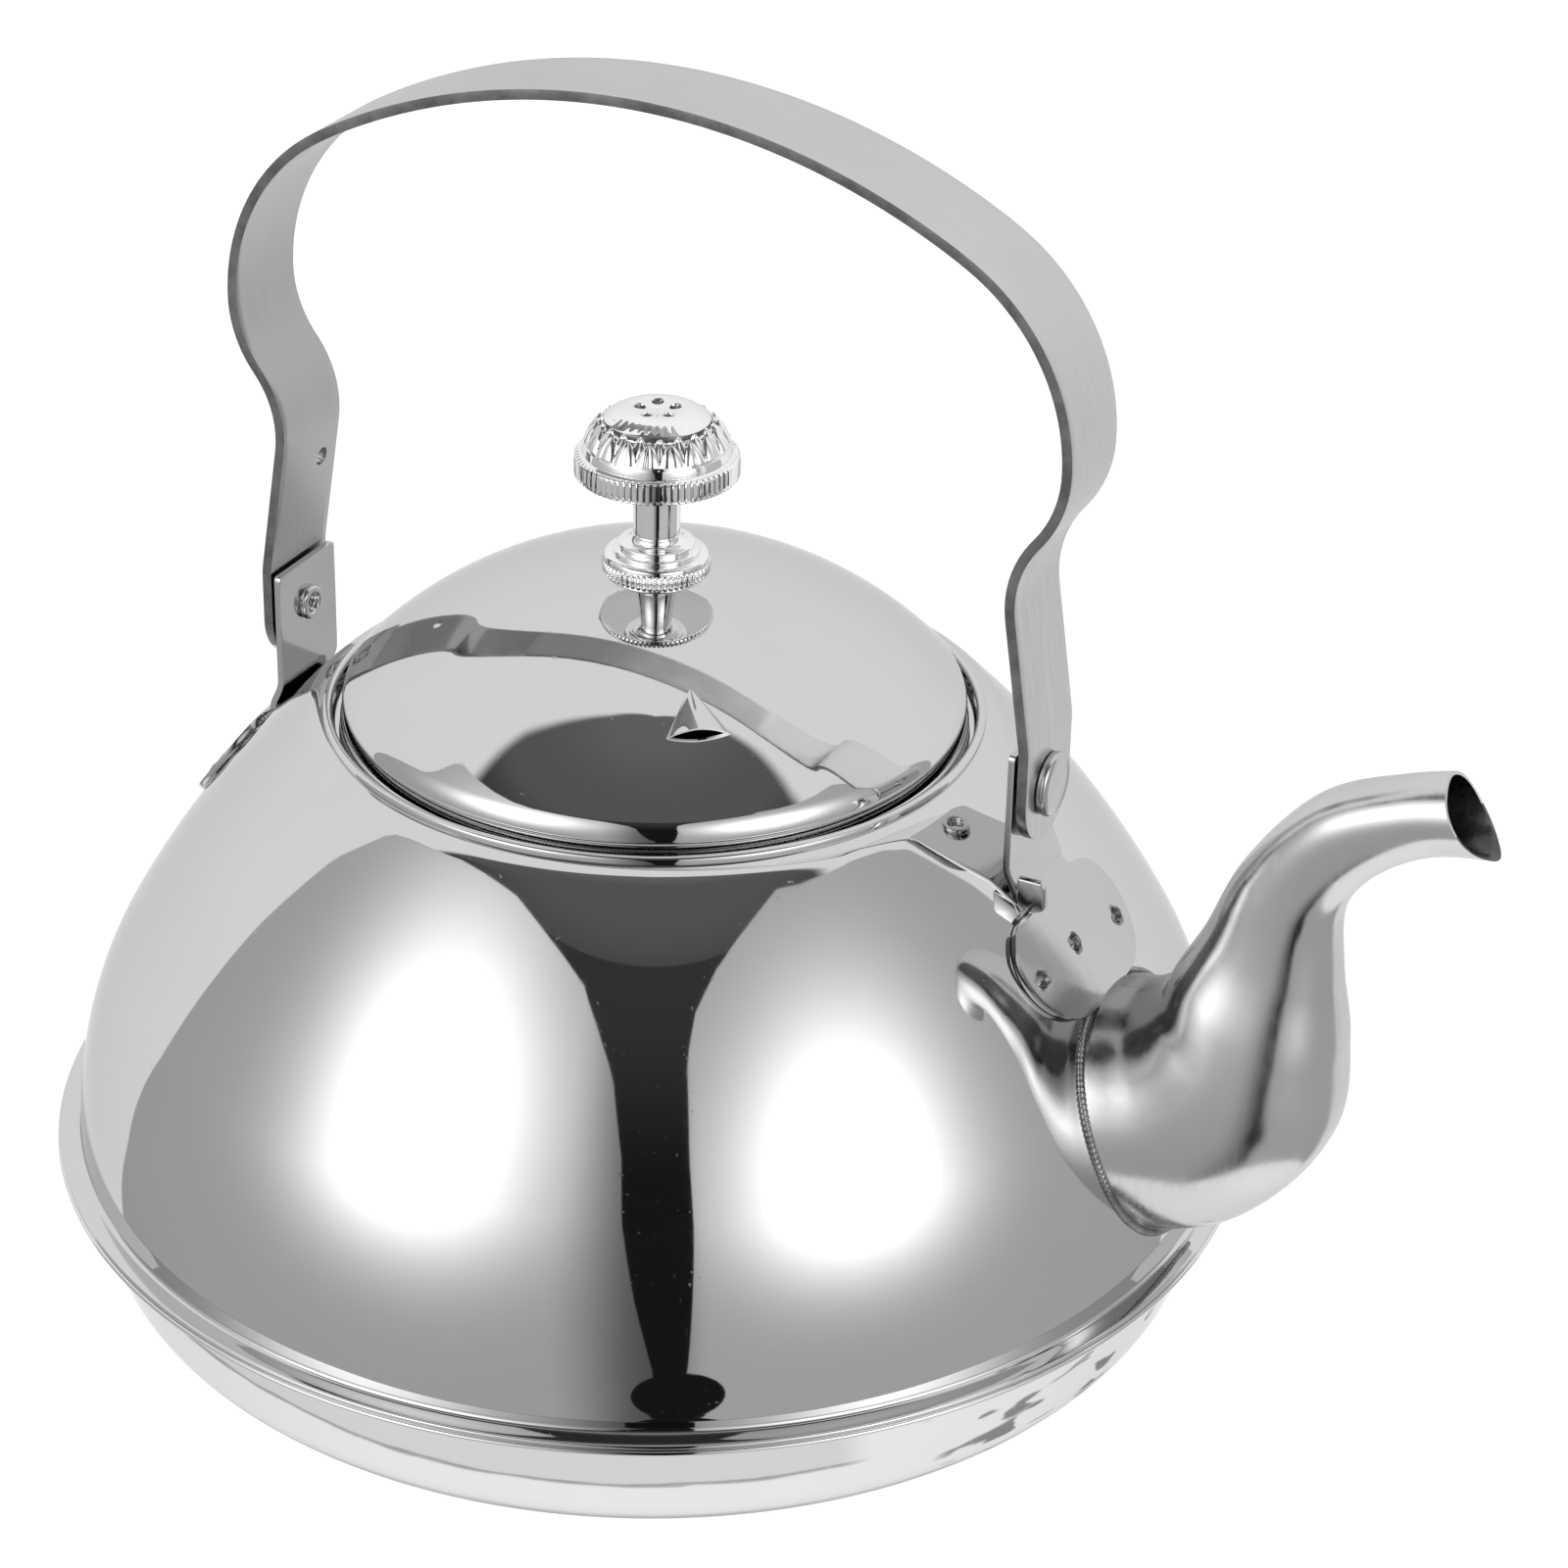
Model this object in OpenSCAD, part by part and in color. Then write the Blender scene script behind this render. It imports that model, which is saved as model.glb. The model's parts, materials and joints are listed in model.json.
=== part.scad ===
// Domed stove kettle with a short S-shaped spout, a lift-off lid and a folding strap handle.
// Millimetres, +Z up, origin at the centre of the base, spout towards +X.
// Heights named *_h are above the ground; the body profile starts at the seam flange.

/* [Body] */
// Outer radius of the seam flange where the dome meets the base pan
flange_r = 90; // [85:0.5:95]
// Height of the seam flange above the ground
seam_h = 21; // [19:0.5:24]
// Sheet thickness of the dome, the pan and the lid
sheet = 0.8; // [0.6:0.1:1.0]
// Radius of the upright foot of the dome wall
dome_foot_r = 86.4; // [85:0.1:87]
// Profile radius of the lower part of the dome
dome_low_r = 58.4; // [55:0.5:62]
// Profile radius of the upper part of the dome
dome_high_r = 154.5; // [150:0.5:160]
// Radius of the filling opening inside the rolled lip
opening_r = 46.9; // [46.5:0.1:47.5]
// Height of the rolled lip above the seam
opening_h = 67.9; // [67:0.1:69]
// Depth of the recess that the lid sits in
seat_depth = 3.2; // [2.6:0.1:3.2]
// Radius of the throat inside the lid seat
throat_r = 42.6; // [42.6:0.1:43]
// Outer corner radius of the base pan
pan_corner_r = 10.6; // [9:0.2:11]

/* [Spout] */
// Wall thickness of the two spout pressings
spout_wall = 1.0; // [0.8:0.1:1.2]
// Outer radius of the spout where it meets the dome
spout_root_r = 18.6; // [18:0.1:18.8]
// Radius of the weld bead round the spout root
bead_r = 1.1; // [0.9:0.1:1.2]
// Radius of the outlet hole in the dome behind the spout
outlet_r = 13; // [11:0.5:14]

/* [Handle] */
// Width of the strap handle
strap_w = 15.4; // [14.5:0.1:16]
// Thickness of the strap handle
strap_t = 1.5; // [1.2:0.1:1.5]
// Half distance between the outer faces of the handle ends
strap_x = 62.1; // [62:0.1:62.3]
// Height of the folding pivots above the ground
pivot_h = 91.5; // [91:0.1:92]
// Radius of the rivet shanks
rivet_r = 2.0; // [1.8:0.1:2.2]
// Radial running clearance of the strap on its rivets
rivet_play = 0.06; // [0.03:0.01:0.09]
// Radius of the rivet heads
rivet_head_r = 4.7; // [4.4:0.1:5]

/* [Brackets] */
// Thickness of the handle bracket pressings
bracket_t = 1.4; // [1.2:0.1:1.4]
// Gap between a bracket ear and the strap
ear_gap = 0.3; // [0.3:0.05:0.4]
// Height of the top of the bracket ears above the ground
ear_top_h = 98.4; // [98:0.1:99]
// Radius of the round ends of the bracket foot
foot_r = 8.6; // [8:0.1:9]
// Half distance between the centres of the foot's round ends
foot_half = 8.6; // [8:0.1:9]

/* [Lid] */
// Outer radius of the upright lid edge
lid_r = 45.6; // [45.4:0.1:45.8]
// Sphere radius of the lid's crown
lid_crown_r = 63; // [62.6:0.1:63.6]
// Height of the lid's crown above the seam
lid_top = 90.7; // [90.5:0.1:91]
// Outer radius of the locating ring under the lid
ring_r = 41.9; // [41.6:0.1:41.9]
// Direction of the steam vent, in degrees from the spout
vent_angle = -52.4; // [-60:1:-45]

/* [Knob] */
// Radius over the teeth of the knurled knob ring
knurl_r = 11.6; // [11.2:0.1:12]
// Number of grooves in the knurled ring
knurl_count = 40; // [36:1:44]
// Radius of the knob stem
stem_r = 3.4; // [3.2:0.1:3.6]
// Radius of the knob's stepped base
knob_base_r = 7.8; // [7.5:0.1:8]
// Radius of the knob screw
screw_r = 2.0; // [1.8:0.1:2.0]

/* [Hidden] */
$fn = 64;
touch = 0.02;

// Arc of points round c from angle a0 to a1 in n steps
function arc(c, r, a0, a1, n) =
    [for (i = [0 : n]) let (a = a0 + (a1 - a0) * i / n) [c[0] + r * cos(a), c[1] + r * sin(a)]];
function rev(v) = [for (i = [len(v) - 1 : -1 : 0]) v[i]];
function lift(v, h) = [for (p = v) [p[0], p[1] + h]];
function flip_x(v) = [for (p = v) [-p[0], p[1]]];

// Dome profile: two tangent arcs and a tight shoulder, heights above the seam
dome_z0 = 1.56;
dome_a1 = 29.15;
dome_a2 = 46;
dome_a3 = 80;
shoulder_r = 6;
dome_c1 = [dome_foot_r - dome_low_r, dome_z0];
dome_c2 = dome_c1 + (dome_low_r - dome_high_r) * [cos(dome_a1), sin(dome_a1)];
dome_c3 = dome_c2 + (dome_high_r - shoulder_r) * [cos(dome_a2), sin(dome_a2)];
function dome_side(d) = concat(
    arc(dome_c1, dome_low_r + d, 1.4, dome_a1, 9),
    arc(dome_c2, dome_high_r + d, dome_a1 + 1.4, dome_a2, 11),
    arc(dome_c3, shoulder_r + d, dome_a2 + 6, dome_a3, 5));
seat_top = opening_h - 2.3;

// The solid that the dome's outer surface bounds, grown by d
module dome_block(d) {
    side = lift(dome_side(d), seam_h);
    last = side[len(side) - 1];
    rotate_extrude($fn = 96)
        polygon(concat([[0, 2], [side[0][0], 2]], side, [[0, last[1]]]));
}

// Root of the spout: a ring lying on the dome
root_c = [78.8, 22.8];
root_dir = [0.94, 0.3412];
module along_root() {
    translate([root_c[0], 0, root_c[1] + seam_h])
        rotate([0, 90 - asin(root_dir[1]), 0]) children();
}

module base_pan() color([0.80, 0.80, 0.81]) {
    cx = flange_r - 16.6;
    corner = arc([cx, pan_corner_r], pan_corner_r, -90, -20, 10);
    inner = arc([cx, pan_corner_r], pan_corner_r - sheet, -90, -20, 10);
    rotate_extrude($fn = 96) polygon(concat(
        [[0, 0]], corner,
        [[flange_r - 2.6, seam_h - sheet], [flange_r, seam_h - sheet], [flange_r, seam_h],
         [flange_r - 3.4, seam_h]],
        rev(inner), [[0, sheet]]));
}

module body_dome() color([0.78, 0.79, 0.80]) {
    outer = lift(dome_side(0), seam_h);
    inner = lift(dome_side(-sheet), seam_h);
    lip = arc([opening_r + 0.7, opening_h + seam_h], 0.7, 0, 180, 6);
    seat = seat_top + seam_h;
    foot = outer[0];
    flange = [
        [foot[0] - sheet, seam_h], [flange_r, seam_h], [flange_r, seam_h + sheet],
        [foot[0] + 1.4, seam_h + sheet], [foot[0] + 0.4, seam_h + sheet + 0.4]];
    under = [
        [opening_r, seat], [throat_r, seat], [throat_r, seat - 3.4],
        [throat_r + sheet, seat - 3.4], [throat_r + sheet, seat - sheet],
        [opening_r + sheet, seat - sheet],
        [opening_r + sheet, opening_h + seam_h - 2.0]];
    difference() {
        rotate_extrude($fn = 96)
            polygon(concat(flange, outer, lip, under, rev(inner)));
        along_root() translate([0, 0, -14]) cylinder(h = 28, r = outlet_r);
    }
}

// Spout centre line: [x, height above the seam, outer radius]
spout_knots = [
    [71.3, 20.1, spout_root_r], [78.8, 22.8, spout_root_r], [88.6, 25.6, 16.2],
    [94.3, 32.0, 14.0], [95.6, 41.0, 12.4], [97.4, 52.0, 9.1], [99.6, 64.0, 7.4],
    [106.3, 73.6, 6.6], [116.0, 79.2, 5.7], [125.4, 81.6, 5.8], [131.0, 82.0, 6.2]];
function knot(i) = spout_knots[max(0, min(len(spout_knots) - 1, i))];
function spline(i, t) = 0.5 * (
    2 * knot(i) + (knot(i + 1) - knot(i - 1)) * t
    + (2 * knot(i - 1) - 5 * knot(i) + 4 * knot(i + 1) - knot(i + 2)) * t * t
    + (3 * knot(i) - knot(i - 1) - 3 * knot(i + 1) + knot(i + 2)) * t * t * t);
spans = len(spout_knots) - 1;
steps = 3;
function spout_at(k) = let (i = min(floor(k / steps), spans - 1)) spline(i, k / steps - i);
spout_rings = spans * steps;
function spout_dir(k) = let (
    a = spout_at(max(0, k - 0.5)), b = spout_at(min(spout_rings, k + 0.5)),
    v = [b[0] - a[0], b[1] - a[1]]) v / norm(v);
sides = 14;
// One ring of a half tube, side = 1 or -1, w = wall taken off the radius
function half_ring(k, side, w) = let (p = spout_at(k), d = spout_dir(k), r = p[2] - w)
    [for (j = [0 : sides]) let (a = 180 * j / sides)
        [p[0] - d[1] * r * cos(a), side * r * sin(a), p[1] + d[0] * r * cos(a) + seam_h]];
module half_tube(side) {
    n = sides + 1;
    loop = 2 * n;
    pts = [for (k = [0 : spout_rings])
        each concat(half_ring(k, side, 0), rev(half_ring(k, side, spout_wall)))];
    skin = [for (k = [0 : spout_rings - 1], j = [0 : loop - 1])
        let (a = k * loop + j, b = k * loop + (j + 1) % loop)
        each [[a, b, b + loop], [a, b + loop, a + loop]]];
    caps = [for (j = [0 : n - 2]) each [
        [j, loop - 1 - j, loop - 2 - j], [j, loop - 2 - j, j + 1]]];
    end0 = spout_rings * loop;
    caps2 = [for (f = caps) [f[0] + end0, f[2] + end0, f[1] + end0]];
    all_faces = concat(skin, caps, caps2);
    polyhedron(pts, side > 0 ? all_faces : [for (f = all_faces) [f[0], f[2], f[1]]], convexity = 6);
}
// Everything beyond the slanted mouth
module mouth_cut() {
    translate([124.0, 0, 81.6 + seam_h]) rotate([0, 55, 0]) translate([0, 0, 15])
        cube([60, 40, 30], center = true);
}
module spout_half(side) {
    difference() {
        half_tube(side);
        dome_block(touch);
        mouth_cut();
    }
}
module spout_left_half() color([0.74, 0.75, 0.76]) spout_half(1);
module spout_right_half() color([0.72, 0.73, 0.74]) spout_half(-1);

module spout_weld_bead() color([0.66, 0.67, 0.68]) {
    difference() {
        intersection() {
            along_root() difference() {
                translate([0, 0, -12]) cylinder(h = 24, r = spout_root_r + 2.2);
                translate([0, 0, -13]) cylinder(h = 26, r = spout_root_r + 0.25);
            }
            dome_block(bead_r);
        }
        dome_block(touch);
    }
}

ear_x1 = strap_x - strap_t - ear_gap;
ear_x0 = ear_x1 - bracket_t;
foot_c = [68.2, 46.2];
foot_tilt = 37.5;
// Foot outline as a prism along the dome's surface normal
module foot_prism(h) {
    translate([foot_c[0], 0, foot_c[1] + seam_h]) rotate([0, 90 - foot_tilt, 0]) {
        for (s = [-1, 1]) translate([0, s * foot_half, -h / 2]) cylinder(h = h, r = foot_r);
        translate([-foot_r, -foot_half, -h / 2]) cube([2 * foot_r, 2 * foot_half, h]);
    }
}
weld_y = [-13, 0, 13];
module weld_points(r, h) {
    for (y = weld_y)
        translate([foot_c[0], y, foot_c[1] + seam_h]) rotate([0, 90 - foot_tilt, 0])
            translate([0, 0, -h / 2]) cylinder(h = h, r = r);
}
module handle_bracket() {
    difference() {
        union() {
            translate([ear_x0, -strap_w / 2, 66]) cube([bracket_t, strap_w, ear_top_h - 66]);
            translate([ear_x0 + 0.3, -strap_w / 2, 74.6]) cube([5.4, bracket_t, 5.4]);
            intersection() {
                foot_prism(16);
                dome_block(bracket_t - 0.2);
            }
        }
        dome_block(touch);
        translate([ear_x0 - 1, 0, pivot_h]) rotate([0, 90, 0]) cylinder(h = 8, r = rivet_r + 0.02);
        weld_points(1.3, 30);
        along_root() translate([0, 0, -20]) cylinder(h = 40, r = spout_root_r + 2.3);
    }
}
module front_bracket() color([0.70, 0.71, 0.73]) handle_bracket();
module rear_bracket() color([0.70, 0.71, 0.73]) rotate([0, 0, 180]) handle_bracket();

module spot_welds() {
    difference() {
        intersection() {
            weld_points(1.3 - touch, 16);
            dome_block(bracket_t - 0.6);
        }
        dome_block(touch);
    }
}
module front_spot_welds() color([0.55, 0.56, 0.58]) spot_welds();
module rear_spot_welds() color([0.55, 0.56, 0.58]) rotate([0, 0, 180]) spot_welds();

// Strap centre plane outline: outer surface points of the +X side, heights above the seam
post_a = 8.8;
arc_t = [[0, 60.7], 101.4];
arc_s = [[34.3, 121], 32];
arc_1 = [[48.3, 121], 18];
arc_2 = [[74, 100.3], 15];
function strap_side(t) = concat(
    [[strap_x - t, pivot_h - seam_h - 9], [strap_x - t, pivot_h - seam_h + 8]],
    arc(arc_2[0], arc_2[1] + t, 180 + post_a, 141.15, 8),
    arc(arc_1[0], arc_1[1] - t, -38.85 + 5, 0, 6),
    arc(arc_s[0], arc_s[1] - t, 6, 60.37, 9),
    arc(arc_t[0], arc_t[1] - t, 63.3, 90, 9));
function drop_last(v) = [for (i = [0 : len(v) - 2]) v[i]];
function whole(v) = concat(v, rev(flip_x(drop_last(v))));
module handle_strap() color([0.76, 0.77, 0.78]) {
    difference() {
        intersection() {
            translate([0, strap_w / 2, seam_h]) rotate([90, 0, 0])
                linear_extrude(height = strap_w)
                    polygon(concat(whole(strap_side(0)), rev(whole(strap_side(strap_t)))));
            union() {
                translate([-80, -strap_w, pivot_h - 0.6]) cube([160, 2 * strap_w, 110]);
                translate([-80, 0, pivot_h - 0.6]) rotate([0, 90, 0])
                    cylinder(h = 160, r = strap_w / 2);
            }
        }
        translate([-80, 0, pivot_h]) rotate([0, 90, 0])
            cylinder(h = 160, r = rivet_r + rivet_play);
        translate([-80, 3.6, pivot_h + 23]) rotate([0, 90, 0]) cylinder(h = 30, r = 1.4);
    }
}

module rivet() {
    translate([0, 0, pivot_h]) rotate([0, 90, 0]) {
        difference() {
            union() {
                translate([0, 0, ear_x0 - 0.9]) cylinder(h = strap_x - ear_x0 + 1.2, r = rivet_r);
                translate([0, 0, ear_x0 - 0.9]) cylinder(h = 0.88, r = rivet_r + 0.65);
                intersection() {
                    translate([0, 0, strap_x + 0.15]) cylinder(h = 1.5, r = rivet_head_r);
                    translate([0, 0, strap_x - 12]) sphere(r = 13.6, $fn = 96);
                }
            }
            translate([0, 0, ear_x0 - 2]) cylinder(h = 3.4, r = 1.25);
        }
    }
}
module front_rivet() color([0.62, 0.63, 0.65]) rivet();
module rear_rivet() color([0.62, 0.63, 0.65]) rotate([0, 0, 180]) rivet();

// Lid profile: a spherical crown and a tighter edge, heights above the seam
crown_c = [0, lid_top - lid_crown_r];
crown_a = 59.25;
edge_r = 45;
edge_c = crown_c + (lid_crown_r - edge_r) * [cos(crown_a), sin(crown_a)];
edge_a = 37;
module lid_block(d) {
    top = lift(concat(arc(edge_c, edge_r + d, edge_a, crown_a, 7),
        arc(crown_c, lid_crown_r + d, crown_a + 3, 90, 12)), seam_h);
    rotate_extrude($fn = 96) polygon(concat([[0, 60], [lid_r + d, 60], [lid_r + d, 69.6 + seam_h]], top));
}
// Cone lying in the lid's slope, its open end facing outwards
module vent_cone(r, l) {
    rotate([0, 0, vent_angle]) translate([34.8, 0, seam_h + 77.3])
        rotate([0, -62, 0]) cylinder(h = l, r1 = r, r2 = 0.02, $fn = 48);
}
module lid_shell() color([0.80, 0.81, 0.82]) {
    foot = seat_top + seam_h + 0.12;
    difference() {
        union() {
            difference() {
                lid_block(0);
                lid_block(-sheet);
            }
            intersection() {
                difference() {
                    vent_cone(5.6, 10.6);
                    vent_cone(4.9, 9.3);
                }
                difference() {
                    lid_block(6);
                    lid_block(-sheet / 2);
                }
            }
        }
        translate([0, 0, foot - 60]) cube([200, 200, 120], center = true);
        vent_cone(4.9, 9.3);
        translate([0, 0, 100]) cylinder(h = 20, r = screw_r + 0.1);
    }
}

module lid_locating_ring() color([0.68, 0.69, 0.70]) {
    difference() {
        union() {
            difference() {
                translate([0, 0, seam_h + 59]) cylinder(h = 20, r = ring_r, $fn = 96);
                translate([0, 0, seam_h + 58]) cylinder(h = 22, r = ring_r - 0.7, $fn = 96);
            }
            difference() {
                lid_block(-sheet - touch);
                lid_block(-sheet - 0.7);
                translate([0, 0, 50]) cylinder(h = 80, r = 36.5, $fn = 96);
                translate([0, 0, 50]) cylinder(h = 22 + seam_h, r = 60, $fn = 96);
            }
        }
        difference() {
            translate([0, 0, seam_h + 55]) cylinder(h = 60, r = 60, $fn = 96);
            lid_block(-sheet - touch);
        }
        difference() {
            translate([0, 0, 50]) cylinder(h = 90, r = 60, $fn = 96);
            translate([0, 0, 49]) cylinder(h = 92, r = ring_r, $fn = 96);
        }
    }
}

knob_z = lid_top + seam_h;
module knob_base() color([0.84, 0.84, 0.85]) {
    difference() {
        translate([0, 0, knob_z]) rotate_extrude($fn = 96) polygon([
            [screw_r + 0.1, -1], [knob_base_r, -1], [knob_base_r, 0.5], [knob_base_r - 0.4, 0.9],
            [knob_base_r - 0.7, 1.7], [knob_base_r - 1.5, 2.2], [knob_base_r - 1.9, 2.3],
            [knob_base_r - 2.1, 3.2], [knob_base_r - 2.8, 3.7], [stem_r + 0.4, 3.9], [screw_r + 0.1, 3.9]]);
        translate([0, 0, seam_h + crown_c[1]]) sphere(r = lid_crown_r + touch, $fn = 96);
    }
}
module knob_stem() color([0.84, 0.84, 0.85]) {
    translate([0, 0, knob_z + 3.9 + touch]) difference() {
        cylinder(h = 12.9, r = stem_r);
        translate([0, 0, -1]) cylinder(h = 8.5, r = screw_r + 0.05);
    }
}
knurl_z = knob_z + 14.8;
module knob_knurled_ring() color([0.82, 0.82, 0.83]) {
    difference() {
        translate([0, 0, knurl_z]) cylinder(h = 3.2, r = knurl_r, $fn = 96);
        translate([0, 0, knurl_z - 1]) linear_extrude(height = 6)
            for (i = [0 : knurl_count - 1]) rotate(i * 360 / knurl_count)
                translate([knurl_r + 0.15, 0]) circle(r = 0.5, $fn = 24);
        translate([0, 0, knurl_z + 1]) cylinder(h = 4, r = knurl_r - 1.7);
        translate([0, 0, knurl_z - 1]) cylinder(h = 4, r = stem_r + touch);
    }
}
module knob_cap() color([0.86, 0.86, 0.87]) {
    rim = knurl_z + 3.2 + touch;
    difference() {
        union() {
            intersection() {
                translate([0, 0, rim - 4.9]) sphere(r = 11.8, $fn = 96);
                translate([0, 0, rim]) cylinder(h = 12, r = knurl_r - 0.9);
            }
            translate([0, 0, rim - 2.1]) cylinder(h = 2.2, r = knurl_r - 1.75);
        }
        intersection() {
            translate([0, 0, rim - 5.2]) sphere(r = 11, $fn = 96);
            translate([0, 0, rim - 3]) cylinder(h = 14, r = knurl_r - 2.6);
        }
        for (i = [0 : 4]) rotate([0, 0, i * 72 + 20]) translate([2.9, 0, rim + 3])
            cylinder(h = 6, r = 0.55);
    }
}
module knob_washer() color([0.60, 0.61, 0.62]) {
    translate([0, 0, knob_z - sheet - 1.15]) difference() {
        cylinder(h = 0.8, r = 6);
        translate([0, 0, -1]) cylinder(h = 3, r = screw_r + 0.15);
    }
}
module knob_screw() color([0.58, 0.58, 0.60]) {
    top = knob_z - sheet - 1.15 - touch;
    difference() {
        union() {
            translate([0, 0, top - 2]) cylinder(h = 2, r = 3.8);
            translate([0, 0, top - 1]) cylinder(h = 12.5, r = screw_r);
        }
        translate([-3, -0.4, top - 3]) cube([6, 0.8, 2]);
    }
}

base_pan();
body_dome();
spout_left_half();
spout_right_half();
spout_weld_bead();
front_bracket();
rear_bracket();
front_spot_welds();
rear_spot_welds();
front_rivet();
rear_rivet();
handle_strap();
lid_shell();
lid_locating_ring();
knob_base();
knob_stem();
knob_knurled_ring();
knob_cap();
knob_washer();
knob_screw();
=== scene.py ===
import json
from bisect import bisect_right
from math import acos, atan2, copysign, cos, degrees, dist, exp, hypot, pi, radians, sin, sqrt

import bmesh
import bpy
from mathutils import Matrix, Vector, noise


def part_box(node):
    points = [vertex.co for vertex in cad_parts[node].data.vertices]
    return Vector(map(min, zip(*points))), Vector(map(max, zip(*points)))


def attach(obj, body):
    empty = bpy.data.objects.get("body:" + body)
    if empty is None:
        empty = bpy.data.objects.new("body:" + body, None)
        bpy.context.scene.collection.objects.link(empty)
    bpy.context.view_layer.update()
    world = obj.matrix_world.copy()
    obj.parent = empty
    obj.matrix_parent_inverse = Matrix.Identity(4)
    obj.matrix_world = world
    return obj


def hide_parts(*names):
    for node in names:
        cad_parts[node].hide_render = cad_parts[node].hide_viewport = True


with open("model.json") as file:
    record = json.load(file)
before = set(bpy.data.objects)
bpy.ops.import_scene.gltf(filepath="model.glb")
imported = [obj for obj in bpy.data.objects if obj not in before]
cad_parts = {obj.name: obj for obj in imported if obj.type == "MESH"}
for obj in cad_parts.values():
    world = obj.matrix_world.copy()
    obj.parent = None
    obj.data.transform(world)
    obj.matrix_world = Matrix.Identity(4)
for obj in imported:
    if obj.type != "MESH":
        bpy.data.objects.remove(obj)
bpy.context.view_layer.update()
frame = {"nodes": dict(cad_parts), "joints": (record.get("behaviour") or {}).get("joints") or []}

MM = 0.001


# ---------------- sizes, in millimetres
def node_mm(name):
    """Lowest and highest corner of a CAD node, in millimetres."""
    low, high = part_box(name)
    return low / MM, high / MM


FLANGE_R = node_mm("base_pan")[1].x
SEAM_Z = node_mm("base_pan")[1].z
SHEET = 0.8
LIP_R = 46.9
LIP_Z = SEAM_Z + 67.9
THROAT_R = 42.6
STRAP_LOW, STRAP_HIGH = node_mm("handle_strap")
STRAP_W = STRAP_HIGH.y - STRAP_LOW.y
STRAP_T = 1.5
RIVET_HEAD_T = 1.5
LEG_X = node_mm("front_rivet")[1].x - RIVET_HEAD_T
PIVOT_Z = frame["joints"][0]["pos_m"][2] / MM
EAR_X1 = node_mm("front_bracket")[0].x
EAR_TOP = node_mm("front_bracket")[1].z
LID_TOP = SEAM_Z + 90.7


# ---------------- outlines
def polar(angle):
    """Cosine and sine of an angle in degrees."""
    return cos(radians(angle)), sin(radians(angle))


def beyond(point, angle, length):
    """The point at a length from another one, in a direction given in degrees."""
    c, d = polar(angle)
    return point[0] + length * c, point[1] + length * d


def arc(centre, radius, start, end, steps):
    """Points on an arc, angles in degrees."""
    return [beyond(centre, start + (end - start) * i / steps, radius) for i in range(steps + 1)]


def smooth(t):
    """From 0 to 1 with soft ends."""
    t = max(0.0, min(1.0, t))
    return t * t * (3 - 2 * t)


def mix(a, b, t):
    return a + (b - a) * t


DOME_LOW_R, DOME_HIGH_R, SHOULDER_R = 58.4, 154.5, 6.0
DOME_FOOT_R = 86.4
DOME_A = (29.15, 46.0, 80.0)
DOME_C1 = (DOME_FOOT_R - DOME_LOW_R, SEAM_Z + 1.56)
DOME_C2 = beyond(DOME_C1, DOME_A[0], DOME_LOW_R - DOME_HIGH_R)
DOME_C3 = beyond(DOME_C2, DOME_A[1], DOME_HIGH_R - SHOULDER_R)


def dome_side(grow, fine=1):
    """The dome's meridian from its foot to its shoulder, moved outwards by grow."""
    low = arc(DOME_C1, DOME_LOW_R + grow, 1.4, DOME_A[0], 18 * fine)
    high = arc(DOME_C2, DOME_HIGH_R + grow, DOME_A[0] + 0.7, DOME_A[1], 22 * fine)
    shoulder = arc(DOME_C3, SHOULDER_R + grow, DOME_A[1] + 2, DOME_A[2], 9 * fine)
    return low + high + shoulder


def dome_radius(z):
    """Radius of the dome's outer surface at height z."""
    points = dome_side(0)
    if z <= points[0][1]:
        return points[0][0]
    for (r0, z0), (r1, z1) in zip(points, points[1:]):
        if z <= z1:
            return mix(r0, r1, (z - z0) / (z1 - z0))
    return points[-1][0]


# ---------------- mesh makers
def outward(mesh, weld=False):
    """Turns every face outwards, after welding vertices that coincide."""
    bm = bmesh.new()
    bm.from_mesh(mesh)
    if weld:
        bmesh.ops.remove_doubles(bm, verts=bm.verts, dist=1e-7)
    bmesh.ops.recalc_face_normals(bm, faces=bm.faces)
    bm.to_mesh(mesh)
    bm.free()


def linked(name, data):
    """A new object in the scene."""
    obj = bpy.data.objects.new(name, data)
    bpy.context.scene.collection.objects.link(obj)
    return obj


def new_object(name, vertices, faces, sharp=35.0, recalc=True):
    """A mesh object in metres from points in millimetres, shaded smooth up to the sharp angle."""
    mesh = bpy.data.meshes.new(name)
    mesh.from_pydata([tuple(c * MM for c in v) for v in vertices], [], faces)
    if recalc:
        outward(mesh, True)
    obj = linked(name, mesh)
    finish_shading(obj, sharp)
    return obj


def finish_shading(obj, sharp):
    obj.data.shade_smooth()
    obj.data.set_sharp_from_angle(angle=radians(sharp))


def revolve(name, profile, segments, shape=None, sharp=35.0):
    """Turns an outline of (radius, height) round Z. shape(r, z, a) may move a point off the axis."""
    vertices = []
    rows = []
    for r, z in profile:
        first = len(vertices)
        for s in range(segments if r else 1):
            a = 2 * pi * s / segments
            rr, zz = shape(r, z, a) if shape and r else (r, z)
            vertices.append((rr * cos(a), rr * sin(a), zz))
        rows.append(range(first, len(vertices)))
    faces = []
    pairs = list(zip(rows, rows[1:]))
    if len(rows[0]) > 1 and len(rows[-1]) > 1:
        pairs.append((rows[-1], rows[0]))
    for low, high in pairs:
        for s in range(segments):
            corners = ((low, s), (low, s + 1), (high, s + 1), (high, s))
            face = tuple(dict.fromkeys(row[k % len(row)] for row, k in corners))
            if len(face) > 2:
                faces.append(face)
    return new_object(name, vertices, faces, sharp)


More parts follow.
